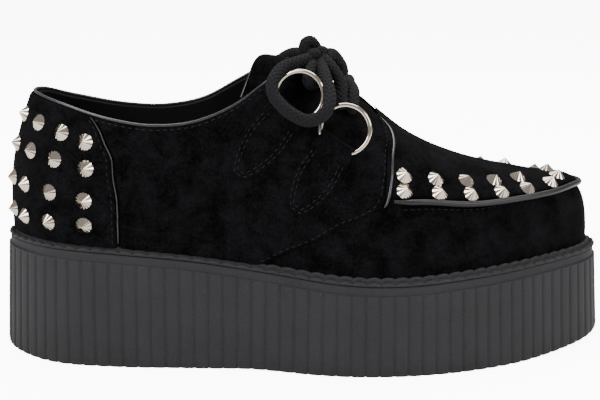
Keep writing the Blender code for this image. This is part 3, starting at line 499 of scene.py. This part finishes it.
# Quarters.
# Two suede side panels, about 1.2 mm thick, lapped over the vamp and skived thin at their edges.
# Their front edges sweep up from the welt to the throat, where each ends in a rounded nose.
REAR_EDGE = table("up turn", (0.0, 0.1510), (0.38, 0.1510), (0.55, 0.1492), (0.70, 0.1488), (0.81, 0.1450),
                  (0.92, 0.1410), (1.0, 0.1345))
FRONT_EDGE = table("share turn up", (0.00, 0.2265, 0.025), (0.10, 0.2400, 0.100), (0.20, 0.2550, 0.150),
                   (0.31, 0.2690, 0.213), (0.42, 0.2835, 0.285), (0.47, 0.2885, 0.330), (0.56, 0.2922, 0.440),
                   (0.70, 0.2950, 0.590), (0.83, 0.2982, 0.730), (0.92, 0.2980, 0.830), (1.00, 0.2925, 0.890))
FOOT_TURN, FOOT_SPAN = 0.151, 0.0755
FOOT_UP, FOOT_FALL = 0.03, 0.005
TOP_REAR, TOP_FRONT = 0.1345, 0.2840
NOSE_START, NOSE_SPAN, NOSE_REACH, NOSE_UP = 0.96, 0.04, 0.0085, 0.890
EDGE_LIFT = 0.0002
QUARTER_LIFT = 0.0015
QUARTER_LENGTH = 0.11
QUARTER_TALL = 0.07
side_steps = np.concatenate([[0, 0.003, 0.007, 0.013, 0.02], np.linspace(0.03, 0.97, 130),
                             [0.98, 0.987, 0.993, 0.997, 1]])
up_steps = np.concatenate([[0, 0.005, 0.012, 0.02], np.linspace(0.035, 0.965, 74), [0.98, 0.988, 0.995, 1]])


def quarter_places(side):
    """Turn and up of each point of a quarter, rows from the foot, columns from the heel."""
    t = side_steps[None, :]
    r = up_steps[:, None]
    rear_up = up_steps * 0.97 + 0.03
    rear = np.stack([curve(REAR_EDGE, "turn", rear_up), rear_up], -1)
    front = np.stack([curve(FRONT_EDGE, "turn", up_steps), curve(FRONT_EDGE, "up", up_steps)], -1)
    foot = np.stack([FOOT_TURN + FOOT_SPAN * side_steps, FOOT_UP - FOOT_FALL * side_steps], -1)
    top_turn = TOP_REAR + (TOP_FRONT - TOP_REAR) * np.minimum(side_steps / NOSE_START, 1)
    cut_up = slot_up(top_turn if side < 0 else 1 - top_turn)
    nose = np.clip((side_steps - NOSE_START) / NOSE_SPAN, 0, 1)
    top = np.stack([top_turn + nose * NOSE_REACH, cut_up * (1 - nose) + NOSE_UP * nose], -1)
    rear, front, foot, top = rear[:, None], front[:, None], foot[None], top[None]
    t, r = t[..., None], r[..., None]
    corners = ((1 - t) * (1 - r) * rear[:1] + (1 - t) * r * rear[-1:]
               + t * (1 - r) * front[:1] + t * r * front[-1:])
    at = (1 - t) * rear + t * front + (1 - r) * foot + r * top - corners
    turn = at[..., 0] if side < 0 else 1 - at[..., 0]
    return turn, np.clip(at[..., 1], 0, 1)


def skived(lift, low, *edges):
    """A lift that falls to low within a millimetre of the nearest edge; edges are distances in metres."""
    nearest = np.min(np.broadcast_arrays(*edges), axis=0)
    return low + (lift - low) * (1 - np.exp(-(nearest / 0.0007) ** 1.5))


for side, word in ((-1, "lateral"), (1, "medial")):
    turn, up = quarter_places(side)
    t = side_steps[None, :]
    r = up_steps[:, None]
    lift = skived(QUARTER_LIFT, EDGE_LIFT, t * QUARTER_LENGTH, (1 - t) * QUARTER_LENGTH,
                  (1 - r) * QUARTER_TALL)
    panel = sheet_of(on_last(turn, up, lift), weld=0)
    piece(panel, "quarter_panel_" + word, black_suede, "suede", "quarter_" + word)

# Heel counter.
# A suede panel wrapped round the heel from quarter to quarter, set with rows of conical studs.
COUNTER_LIFT = 0.0019
COUNTER_HALF = 0.09
COUNTER_TALL = 0.06
counter_up = np.concatenate([[0.03, 0.036], np.linspace(0.045, 0.975, 60), [0.985, 0.993, 1.0]])
counter_side = np.concatenate([[-1, -0.993, -0.985, -0.975], np.linspace(-0.96, 0.96, 120),
                               [0.975, 0.985, 0.993, 1]])
edge_turn = curve(REAR_EDGE, "turn", counter_up)[:, None] - 0.0009
turn = edge_turn * counter_side[None, :]
up = np.broadcast_to(counter_up[:, None], turn.shape)
lift = skived(COUNTER_LIFT, EDGE_LIFT, (1 - np.abs(counter_side))[None, :] * COUNTER_HALF,
              (1 - counter_up)[:, None] * COUNTER_TALL)
panel = sheet_of(on_last(turn, up, lift), weld=0)
piece(panel, "counter_panel", black_suede, "suede")

# Toe apron.
# The moccasin-style panel on top of the toe. It runs back under the quarters' noses, and its edge is sewn
# to the vamp behind a thick piping.
APRON_EDGE = table("turn up",
                   (0.240, 0.42), (0.292, 0.37), (0.315, 0.41), (0.344, 0.43), (0.379, 0.50),
                   (0.401, 0.55), (0.424, 0.59), (0.449, 0.61), (0.500, 0.61))
APRON_LIFT = 0.0017
APRON_EDGE_LIFT = 0.0004
APRON_HALF = 0.03
APRON_LENGTH = 0.15
apron_share = np.concatenate([[0, 0.008, 0.018, 0.03], np.linspace(0.05, 1, 44)])
apron_side = np.linspace(-1, 1, 241)
start = 0.290 + 0.004 * np.clip(apron_share / 0.4, 0, 1)
lateral_turn = 0.5 - (0.5 - start[:, None]) * np.abs(apron_side)[None, :]
edge_up = curve(APRON_EDGE, "up", lateral_turn)
up = edge_up + (1 - edge_up) * apron_share[:, None]
turn = np.where(apron_side[None, :] <= 0, lateral_turn, 1 - lateral_turn)
lift = skived(APRON_LIFT, APRON_EDGE_LIFT, apron_share[:, None] * APRON_HALF,
              0.002 + (1 - np.abs(apron_side))[None, :] * APRON_LENGTH)
panel = sheet_of(on_last(turn, up, lift))
piece(panel, "apron_panel", black_suede, "suede")

# Studs.
# Screw-back cones of bright nickel-plated brass, fluted from tip to rim, set through the counter and apron.
STUD_FLUTES = 16
STUD_RADIUS = 0.00375
STUD_DEPTH = 0.0030
STUD_TIP = 0.0002
STUD_SEAT = 0.0014
FLUTE_INSET = 0.97
FLUTE_DROP = 0.0001
SKIRT_INSET = 0.90
SKIRT_BOTTOM = -0.0024
nickel, tree, place = new_material("bright_nickel_plate")
smear = node(tree, "TexNoise", Vector=place.outputs["Object"], Scale=260.0, Detail=3.0)
haze = node(tree, "MapRange", Value=smear.outputs["Fac"], From_Min=0.3, From_Max=0.7, To_Min=0.07,
            To_Max=0.17)
close(tree, node(tree, "BsdfPrincipled", Base_Color=linear("#B5A99C"), Metallic=1.0,
                 Roughness=haze.outputs["Result"]))

one_stud = bmesh.new()
bmesh.ops.create_cone(one_stud, cap_ends=False, segments=STUD_FLUTES * 2, radius1=STUD_RADIUS,
                      radius2=STUD_TIP, depth=STUD_DEPTH)
rim_edges = [e for e in one_stud.edges if e.verts[0].co.z < 0 and e.verts[1].co.z < 0]
for vert in [v for v in one_stud.verts if v.co.z < 0]:
    if round(math.atan2(vert.co.y, vert.co.x) / (math.pi / STUD_FLUTES)) % 2:
        vert.co.x *= FLUTE_INSET
        vert.co.y *= FLUTE_INSET
        vert.co.z -= FLUTE_DROP
skirt = bmesh.ops.extrude_edge_only(one_stud, edges=rim_edges)["geom"]
for vert in [v for v in skirt if isinstance(v, bmesh.types.BMVert)]:
    vert.co = Vector((vert.co.x * SKIRT_INSET, vert.co.y * SKIRT_INSET, SKIRT_BOTTOM))
tip_edges = [e for e in one_stud.edges if e.is_boundary and e.verts[0].co.z > 0]
bmesh.ops.contextual_create(one_stud, geom=tip_edges)
bmesh.ops.recalc_face_normals(one_stud, faces=one_stud.faces)
stud_form = bpy.data.meshes.new("one_stud")
one_stud.to_mesh(stud_form)
one_stud.free()

COUNTER_STUDS = ((0.040, 0.845), (0.0796, 0.831), (0.1085, 0.808), (0.1298, 0.790),
                 (0.038, 0.619), (0.0746, 0.613), (0.1026, 0.592), (0.1301, 0.582),
                 (0.037, 0.364), (0.0666, 0.350), (0.0978, 0.338), (0.1280, 0.328),
                 (0.038, 0.157), (0.0628, 0.135), (0.0951, 0.136), (0.1274, 0.152))
APRON_STUDS = ((0.3012, 0.425), (0.3220, 0.460), (0.3426, 0.482), (0.3650, 0.525), (0.3868, 0.580),
               (0.4149, 0.665), (0.3021, 0.510), (0.3214, 0.552), (0.3423, 0.590), (0.3638, 0.642),
               (0.3859, 0.720))
heel_places = [(at, up) for turn, up in COUNTER_STUDS for at in (turn, 1 - turn)]
toe_places = [(at, up) for turn, up in APRON_STUDS for at in (turn, 1 - turn)]
toe_places += [(0.4429, 0.758), (0.475, 0.960)]
for name, places, lift, carrier in (("counter_studs", heel_places, COUNTER_LIFT, "heel_counter"),
                                    ("apron_studs", toe_places, APRON_LIFT, "toe_apron")):
    studs = bmesh.new()
    for turn, up in places:
        foot = Vector(on_last(turn, up, lift + STUD_SEAT))
        upright = Vector(last_normal(turn, up)).to_track_quat("Z", "Y").to_matrix().to_4x4()
        before = len(studs.verts)
        studs.from_mesh(stud_form)
        studs.verts.ensure_lookup_table()
        bmesh.ops.transform(studs, matrix=Matrix.Translation(foot) @ upright, verts=studs.verts[before:])
    piece(studs, name, nickel, "nickel", carrier, smooth=False, facing=False)

# Pipings.
# Strips of glossy black leather folded round a cord: a thin one round the collar and down each quarter's
# front edge, a thicker one along the apron. The counter's cut edges are inked and show as fine lines.
COLLAR_CORD = 0.00065
FRONT_CORD = 0.0007
APRON_CORD = 0.00135
CUT_EDGE = 0.0003


def glossy(name, dark, pale, roughness, coat):
    """Leather with a fine grain; coat is how much of it is lacquered."""
    made, tree, place = new_material(name)
    grain = node(tree, "TexNoise", Vector=place.outputs["Object"], Scale=900.0, Detail=3.0)
    tint = node(tree, "ValToRGB", Fac=grain.outputs["Fac"])
    tint.color_ramp.elements[0].color = linear(dark)
    tint.color_ramp.elements[1].color = linear(pale)
    relief = node(tree, "Bump", Strength=0.3, Distance=0.0002, Height=grain.outputs["Fac"])
    close(tree, node(tree, "BsdfPrincipled", Base_Color=tint.outputs["Color"], Roughness=roughness,
                     Specular_IOR_Level=0.3, Coat_Weight=coat, Coat_Roughness=0.2,
                     Normal=relief.outputs["Normal"]))
    return made


piping = glossy("glossy_piping_leather", "#0F0F11", "#2A2A2D", 0.32, 0.25)
# Darker copy of the piping leather for the apron cord: painted shade, to hold the cord down where it faces the
# top light
darker_apron_piping = glossy("apron_piping_leather_painted_shade", "#050506", "#121214", 0.42, 0.0)


def corded(name, path, radius, material, slot, *nodes, closed=False, ends=0.0):
    """A round cord along a path; ends is how much it thins at both ends."""
    line = bpy.data.curves.new(name, "CURVE")
    line.dimensions = "3D"
    line.bevel_depth = radius
    line.bevel_resolution = 4
    line.use_fill_caps = True
    line.materials.append(material)
    spline = line.splines.new("POLY")
    spline.points.add(len(path) - 1)
    for k, (point, at) in enumerate(zip(spline.points, path)):
        point.co = (*at, 1)
        point.radius = 1 - ends * max(0, 1 - min(k, len(path) - 1 - k) / 6)
    spline.use_cyclic_u = closed
    made = bpy.data.objects.new(name, line)
    bpy.context.scene.collection.objects.link(made)
    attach(made, "root")
    if nodes:
        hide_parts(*nodes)
    return made


def rib_direction(turn, up):
    rising = last_surface(turn, up) - last_surface(turn, up - 1e-3)
    return rising / np.linalg.norm(rising, axis=-1, keepdims=True)


around_collar = np.linspace(-0.246, 0.246, 260)
path = on_last(around_collar, 1.0, 0.0004) + rib_direction(around_collar, 1.0) * 0.0004
corded("collar_cord", path, COLLAR_CORD, piping, "piping", "collar_piping", ends=0.5)
for side, word in ((-1, "lateral"), (1, "medial")):
    share = np.linspace(0.46, 1.0, 70)
    turn = curve(FRONT_EDGE, "turn", share) + 0.0016
    up = np.minimum(curve(FRONT_EDGE, "up", share), 0.999)
    path = on_last(turn if side < 0 else 1 - turn, up, 0.0013)
    corded("front_edge_cord_" + word, path, FRONT_CORD, piping, "piping", "edge_piping_" + word, ends=0.6)
turn = np.linspace(0.2945, 0.7055, 240)
up = curve(APRON_EDGE, "up", np.minimum(turn, 1 - turn))
path = on_last(turn, up, 0.0018) - rib_direction(turn, up) * 0.0015
corded("apron_cord", path, APRON_CORD, darker_apron_piping, "piping", "apron_piping", ends=0.5)

up = np.linspace(0.06, 0.985, 90)
for side, word in ((-1, "lateral"), (1, "medial")):
    turn = curve(REAR_EDGE, "turn", up) - 0.0010
    path = on_last(turn if side < 0 else 1 - turn, up, 0.0016)
    corded("counter_edge_" + word, path, CUT_EDGE, piping, "piping", ends=0.5)

# Ring tabs.
# Four leaf-shaped suede tabs, sewn flat on the quarters and folded round the straight bars of the D-rings.
RINGS = table("centre_x centre_z tip_x tip_z", (-2.9, 116.1, -29.8, 83.4), (16.0, 102.4, -5.0, 68.8))
LEAF = table("along half_width", (0.0, 8.0), (0.2, 9.2), (0.45, 9.8), (0.7, 8.2), (0.88, 5.6), (0.97, 2.8),
             (1.0, 0.0))
RING_RADIUS = 0.0104
BAR_HALF = 0.0078
TAB_ROLL = 0.0023
TAB_LIFT = 0.0018
RING_WIRE = 0.00105
RING_LEAN = 20
LEAF_LIFT = 0.0027
LEAF_EDGE = 0.0014
HINGE_RISE = 0.0030
TAB_STITCHES = (0.0019, 0.0035)


def find_on_last(side, x, z):
    """The turn and up where the last's side has a place in side view."""
    turn = 0.25 + 0.1 * np.asarray(x, float) / (0.36 * SHOE_LENGTH)
    up = np.full_like(turn, 0.6)
    turn = turn if side < 0 else 1 - turn
    target = np.stack([np.asarray(x, float), np.asarray(z, float)], -1)
    for _ in range(40):
        here = last_surface(turn, up)[..., [0, 2]]
        along_turn = (last_surface(turn + 1e-4, up)[..., [0, 2]] - here) / 1e-4
        along_up = (last_surface(turn, up + 1e-4)[..., [0, 2]] - here) / 1e-4
        miss = target - here
        size = along_turn[..., 0] * along_up[..., 1] - along_turn[..., 1] * along_up[..., 0]
        turn_step = (miss[..., 0] * along_up[..., 1] - miss[..., 1] * along_up[..., 0]) / size
        up_step = (along_turn[..., 0] * miss[..., 1] - along_turn[..., 1] * miss[..., 0]) / size
        turn = turn + np.clip(turn_step, -0.02, 0.02)
        up = np.clip(up + np.clip(up_step, -0.1, 0.1), 0.0, 1.0)
    return turn, up


stitch_paths = []
for index, where in enumerate(("rear", "front")):
    centre = np.array([RINGS["centre_x"][index], RINGS["centre_z"][index]]) / 1000
    tip = np.array([RINGS["tip_x"][index], RINGS["tip_z"][index]]) / 1000
    up_leaf = (centre - tip) / np.linalg.norm(centre - tip)
    hinge = centre - up_leaf * math.sqrt(RING_RADIUS ** 2 - BAR_HALF ** 2)
    across_leaf = np.array([up_leaf[1], -up_leaf[0]])
    length = np.linalg.norm(hinge - tip)
    for side, word in ((-1, "lateral"), (1, "medial")):
        name = where + "_" + word
        ends = []
        for sign in (-1, 1):
            turn, up = find_on_last(side, hinge[0] + sign * across_leaf[0] * BAR_HALF,
                                    hinge[1] + sign * across_leaf[1] * BAR_HALF)
            ends.append(last_surface(turn, up) + last_normal(turn, up) * TAB_LIFT)
        turn, up = find_on_last(side, hinge[0], hinge[1])
        outward = last_normal(turn, up)
        middle = last_surface(turn, up) + outward * (TAB_LIFT + 0.9 * TAB_ROLL)
        bar = (ends[1] - ends[0]) / np.linalg.norm(ends[1] - ends[0])
        outward = outward - bar * outward.dot(bar)
        outward /= np.linalg.norm(outward)
        forward = np.cross(bar, outward)
        forward *= math.copysign(1, forward[0] * up_leaf[0] + forward[2] * up_leaf[1])

        along = np.concatenate([np.linspace(0.0, 0.9, 46),
                                [0.92, 0.94, 0.955, 0.97, 0.98, 0.988, 0.994, 0.998, 1.0]])
        over = np.sin(np.linspace(-1, 1, 41) * math.pi / 2)
        half = curve(LEAF, "half_width", along)[:, None] / 1000
        flat = hinge - up_leaf * length * along[:, None, None] + across_leaf * (half * over)[..., None]
        turn, up = find_on_last(side, flat[..., 0], flat[..., 1])
        edge = np.minimum((1 - np.abs(over))[None, :] * half, ((1 - along) * length)[:, None])
        ramp = np.clip(1 - along / 0.22, 0, 1)[:, None]
        lift = skived(LEAF_LIFT, LEAF_EDGE, edge) + HINGE_RISE * ramp ** 2 * (3 - 2 * ramp)
        leaf = on_last(turn, up, lift)
        fold = []
        same_way = math.copysign(1, bar[0] * across_leaf[0] + bar[2] * across_leaf[1])
        spread = (over * LEAF["half_width"][0] / 1000)[:, None] * bar * same_way
        for angle in np.linspace(0.1, math.pi * 0.95, 12):
            fold.append(middle + spread + TAB_ROLL * (math.cos(angle) * outward + math.sin(angle) * forward))
        tab = sheet_of(np.array(fold[::-1] + list(leaf)), weld=1e-6)
        piece(tab, "leaf_tab_" + name, black_suede, "suede", "ring_tab_" + name)
        for inset in TAB_STITCHES:
            line_along = np.linspace(0.10, 1.0 - inset / length, 60)
            line_half = np.maximum(curve(LEAF, "half_width", line_along) / 1000 - inset, 0)
            right = hinge - up_leaf * length * line_along[:, None] + across_leaf * line_half[:, None]
            left = hinge - up_leaf * length * line_along[:, None] - across_leaf * line_half[:, None]
            turn, up = find_on_last(side, *np.concatenate([right, left[::-1]]).T)
            stitch_paths.append((turn, up, LEAF_LIFT + 0.0001))

        # D-ring: round nickel-plated wire of 2.1 mm, its bar inside the fold
        lean = forward * math.cos(math.radians(RING_LEAN)) + outward * math.sin(math.radians(RING_LEAN))
        sweep = math.pi - math.asin(BAR_HALF / RING_RADIUS)
        gap = math.sqrt(RING_RADIUS ** 2 - BAR_HALF ** 2)
        ring = [middle + lean * (gap + RING_RADIUS * math.cos(t)) + bar * RING_RADIUS * math.sin(t)
                for t in np.linspace(-sweep, sweep, 72)]
        corded("d_ring_" + name, ring, RING_WIRE, nickel, "nickel", "ring_" + name, closed=True)

# Tongue.
# Lined suede, sewn in under the apron's rear end. It fills the throat, and its free top stands inside the
# collar.
TONGUE_WALL = 0.0024
TONGUE_SINK = 0.0024
TONGUE_TIP = table("across x y z", (-1.0, -28, -18.5, 116), (-0.66, -25, -14.5, 124),
                   (-0.34, -21.8, -9.0, 132.0), (-0.30, -20.8, -7.6, 133.0), (0.0, -14, 3, 132.4),
                   (0.33, -13, 12, 131), (0.66, -18, 17.5, 124), (1.0, -22, 21.5, 116))
across = np.linspace(-1, 1, 61)
run_turn = np.linspace(COLLAR_FRONT, 0.345, 46)
edge_up = curve(APRON_EDGE, "up", np.clip(run_turn, 0.24, 0.5))
low_up = (edge_up + (1 - edge_up) * 0.25)[:, None]
up = low_up + (1 - low_up) * (1 - np.abs(across))[None, :]
turn = np.where(across[None, :] <= 0, run_turn[:, None], 1 - run_turn[:, None])
skins = []
for depth in (0.0, TONGUE_WALL):
    body = last_surface(turn, up) - last_normal(turn, up) * (TONGUE_SINK + depth)
    tip = np.stack([curve(TONGUE_TIP, axis, across) for axis in "xyz"], -1) / 1000
    inwards = np.array([0, SLOT_MIDDLE, 0.105]) - tip
    inwards[:, 0] = 0
    tip = tip + inwards / np.linalg.norm(inwards, axis=-1, keepdims=True) * depth
    free = []
    for t in np.linspace(0, 1, 26)[:-1]:
        slope = (body[2] - body[0]) * 4.0
        free.append(tip * (1 - t) ** 2 * (1 + 2 * t) + body[0] * t * t * (3 - 2 * t)
                    - slope * t * t * (1 - t))
    skins.append(np.concatenate([np.array(free), body]))
rolled = (skins[0][:1] + skins[1][:1]) / 2 + (skins[0][:1] - skins[0][1:2]) * 0.6
tongue = sheet_of(np.concatenate([skins[1][::-1], rolled, skins[0]]), weld=1e-6)
piece(tongue, "tongue_flap", black_suede, "suede", "tongue")
rim = skins[0][0] * 0.5 + skins[1][0] * 0.5 + (skins[0][0] - skins[0][1]) * 0.8
corded("tongue_cord", rim, FRONT_CORD, piping, "piping")

# Stitching.
# Dark grey bonded thread of 0.4 mm, in stitches of 3 mm: double rows on the tabs, single rows along the
# counter, the quarters' front edges, the collar and below the apron.
STITCH_PITCH = 0.0030
STITCH_HALF = (0.00100, 0.00022, 0.00018)
thread, tree, place = new_material("grey_bonded_thread")
twist = node(tree, "TexWave", Vector=place.outputs["Object"], Scale=700.0, Distortion=1.0)
relief = node(tree, "Bump", Strength=0.4, Distance=0.0001, Height=twist.outputs["Fac"])
close(tree, node(tree, "BsdfPrincipled", Base_Color=linear("#121214"), Roughness=0.8, Specular_IOR_Level=0.2,
                 Normal=relief.outputs["Normal"]))

for side in (-1, 1):
    share = np.linspace(0.02, 0.97, 160)
    turn = curve(FRONT_EDGE, "turn", share) - 0.0026
    up = curve(FRONT_EDGE, "up", share) + 0.002
    stitch_paths.append((turn if side < 0 else 1 - turn, up, 0.0016))
    up = np.linspace(0.05, 0.97, 120)
    turn = curve(REAR_EDGE, "turn", up) - 0.0045
    stitch_paths.append((turn if side < 0 else 1 - turn, up, 0.0020))
turn = np.linspace(0.300, 0.700, 400)
up = curve(APRON_EDGE, "up", np.minimum(turn, 1 - turn)) - 0.050
stitch_paths.append((turn, up, 0.0001))
turn = np.linspace(-0.232, 0.232, 500)
stitch_paths.append((turn, np.full_like(turn, 0.972), 0.0016))
rows = bmesh.new()
for turn, up, lift in stitch_paths:
    line = on_last(turn, up, lift)
    facing = last_normal(turn, up)
    run = np.concatenate([[0], np.cumsum(np.linalg.norm(np.diff(line, axis=0), axis=1))])
    for mark in np.arange(0.001, run[-1], STITCH_PITCH):
        at = Vector([np.interp(mark, run, line[:, k]) for k in range(3)])
        ahead = Vector([np.interp(mark + 0.0006, run, line[:, k]) for k in range(3)])
        outward = Vector([np.interp(mark, run, facing[:, k]) for k in range(3)]).normalized()
        forward = (ahead - at).normalized()
        if forward.length < 0.5:
            continue
        aside = outward.cross(forward).normalized()
        upright = Matrix((forward, aside, forward.cross(aside))).transposed().to_4x4()
        size = Matrix.Diagonal((*STITCH_HALF, 1))
        bmesh.ops.create_uvsphere(rows, u_segments=6, v_segments=4, radius=1.0,
                                  matrix=Matrix.Translation(at) @ upright @ size)
piece(rows, "seam_stitches", thread, "lining", facing=False)

# Lace.
# A round braid of black cotton, 5.3 mm thick: a bar between the front rings, a run from ring to ring with a
# strand to the front one, and a bow of two loops whose short end is tucked up through the knot.
LACE_RADIUS = 0.00265
BRAID_STRANDS = 7
BRAID_PITCH = 0.0027
BRAID_STEP = 0.00032
BRAID_RELIEF = 0.10
SMOOTHINGS = 6
lace_braid, tree, place = new_material("black_cotton_braid")
fuzz = node(tree, "TexNoise", Vector=place.outputs["Object"], Scale=1800.0, Detail=3.0)
tint = node(tree, "ValToRGB", Fac=fuzz.outputs["Fac"])
tint.color_ramp.elements[0].color = linear("#050506")
tint.color_ramp.elements[1].color = linear("#18181A")
relief = node(tree, "Bump", Strength=0.5, Distance=0.0003, Height=fuzz.outputs["Fac"])
close(tree, node(tree, "BsdfPrincipled", Base_Color=tint.outputs["Color"], Roughness=0.9,
                 Specular_IOR_Level=0.15, Sheen_Weight=0.05, Sheen_Roughness=0.4,
                 Sheen_Tint=linear("#9A9AA0"), Normal=relief.outputs["Normal"]))


def smooth_through(points, per_span):
    """A Catmull-Rom curve through points."""
    points = np.array(points, float)
    out = []
    for i in range(len(points) - 1):
        b, c = points[i], points[i + 1]
        a = points[i - 1] if i else 2 * b - c
        d = points[i + 2] if i + 2 < len(points) else 2 * c - b
        for k in range(per_span):
            t = k / per_span
            out.append(b + 0.5 * t * (c - a + t * (2 * a - 5 * b + 4 * c - d + t * (3 * (b - c) + d - a))))
    out.append(points[-1])
    return np.array(out)


def braided(path):
    """A braided tube along a path, with its strands raised on it, and the tube's centre line."""
    run = np.concatenate([[0], np.cumsum(np.linalg.norm(np.diff(path, axis=0), axis=1))])
    steps = np.linspace(0, run[-1], max(8, int(run[-1] / BRAID_STEP)))
    centre = np.stack([np.interp(steps, run, path[:, k]) for k in range(3)], -1)
    for _ in range(SMOOTHINGS):
        centre[1:-1] = (centre[:-2] + 2 * centre[1:-1] + centre[2:]) / 4
    ahead = np.gradient(centre, axis=0)
    ahead /= np.linalg.norm(ahead, axis=-1, keepdims=True)
    side = [np.cross(ahead[0], (0.3, 0.2, 1.0))]
    for direction in ahead[1:]:
        side.append(side[-1] - direction * side[-1].dot(direction))
        side[-1] = side[-1] / np.linalg.norm(side[-1])
    side[0] = side[0] / np.linalg.norm(side[0])
    side = np.array(side)
    other = np.cross(ahead, side)
    angle = np.linspace(0, math.tau, 61)[None, :]
    pitch = steps[:, None] / BRAID_PITCH * math.tau
    strands = np.maximum(np.cos(BRAID_STRANDS * angle + pitch), np.cos(BRAID_STRANDS * angle - pitch))
    width = LACE_RADIUS * (0.93 + BRAID_RELIEF * strands)
    end = np.minimum(steps, steps[-1] - steps)[:, None]
    width = width * np.sqrt(np.clip(1 - (1 - np.clip(end / LACE_RADIUS, 0, 1)) ** 2, 0.0, 1))
    points = centre[:, None] + width[..., None] * (np.cos(angle)[..., None] * side[:, None]
                                                   + np.sin(angle)[..., None] * other[:, None])
    return sheet_of(points, weld=4e-5), centre


# Points along each strand in millimetres
CENTRE = ((5.7, -14.0, 123.3), (3.7, -19.0, 122.3), (2.1, -23.0, 121.9), (1.0, -24.5, 123.5),
          (1.3, -21.5, 126.2), (2.6, -16.0, 129.2), (3.2, -13, 129.3), (5.0, -8.5, 132.0),
          (6.5, -2, 133.0), (6.5, 5, 132.6), (5.5, 13, 131.2), (3.5, 20.3, 127.0), (1.4, 26.0, 121.0))
TUCKED_END = ((4.0, -7.2, 131.6), (1.3, -7.4, 133.6), (-0.6, -7.2, 136.4), (0.2, -6.6, 138.6),
              (2.4, -5.4, 138.8), (4.2, -4.6, 136.4), (5.4, -5.0, 131.8))
WRAP = ((6.3, -10.8, 134.2), (3.0, -12.2, 133.6), (2.4, -11.4, 130.4), (4.6, -8.6, 128.6),
        (7.4, -5.6, 129.6), (8.4, -4.8, 132.6), (7.4, -7.2, 134.6), (5.0, -9.8, 134.6))
TO_FRONT_RING = ((5.5, -8.5, 132.4), (7.5, -10, 131.8), (10.5, -14, 129.0), (13.9, -17, 124.5),
                 (15.3, -20, 120.0), (15.2, -24, 115.7), (16.0, -27.5, 112.0))
LOOP_NEAR = ((5.0, -8.0, 132.6), (-0.4, -15, 131.7), (-4.8, -20, 130.8), (-9.4, -25, 129.6),
             (-12.7, -31, 126.7), (-14.3, -36, 123.0), (-13.4, -39.5, 118.8), (-10.5, -42, 115.4),
             (-6.7, -44, 112.3), (-0.5, -45.5, 109.4), (4.8, -45.5, 110.2), (8.6, -44, 113.5),
             (9.9, -38, 118.2), (8.5, -27, 124.2), (6.7, -15, 129.1), (6.0, -9.5, 131.4))
LOOP_FAR = ((5.0, -5, 132.8), (-0.5, 8, 132.8), (-8, 22, 131.0), (-14, 36, 124.0), (-9.0, 45.5, 114.3),
            (3.5, 47.8, 110.4), (14.5, 45.0, 113.0), (17.6, 31, 122.5), (13.0, 12, 131.4), (9, 1, 132.8),
            (6.4, -5, 132.6))
knotted = []
for name, points in (("lace_tucked_end", TUCKED_END), ("lace_knot_wrap", WRAP),
                     ("lace_to_front_ring", TO_FRONT_RING)):
    tube, _ = braided(smooth_through(points, 8) / 1000)
    knotted.append(piece(tube, name, lace_braid, "lace"))
for name, points, nodes, extra in (("lace_centre", CENTRE, ("lace_knot",), knotted),
                                   ("lace_bow_near", LOOP_NEAR, ("lace_loop_near",), []),
                                   ("lace_bow_far", LOOP_FAR, ("lace_loop_far",), [])):
    tube, centre = braided(smooth_through(points, 12) / 1000)
    made = piece(tube, name, lace_braid, "lace", *nodes)
    length = float(np.linalg.norm(np.diff(centre, axis=0), axis=1).sum())

BAR_ALONG = 0.0175
bar_y = np.array((-0.0240, -0.020, -0.015, -0.008, 0.0005, 0.010, 0.018, 0.024, 0.0295))
bar_lift = np.array((0.0054, 0.0056, 0.0058, 0.0040, 0.0018, 0.0040, 0.0058, 0.0056, 0.0054))
bar_points = []
for y, lift in zip(bar_y, bar_lift):
    tries = np.linspace(0.5, 1, 300)
    turns = np.linspace(0.26, 0.33, 120)
    turns = turns if y < SLOT_MIDDLE else 1 - turns
    field = last_surface(turns[:, None], tries[None, :])
    best = np.hypot(field[..., 0] - BAR_ALONG, field[..., 1] - y).argmin()
    turn, up = turns[best // len(tries)], tries[best % len(tries)]
    bar_points.append(last_surface(turn, up) + last_normal(turn, up) * lift)
bar, _ = braided(smooth_through(bar_points, 12))
piece(bar, "lace_front_bar", lace_braid, "lace", "lace_bar")
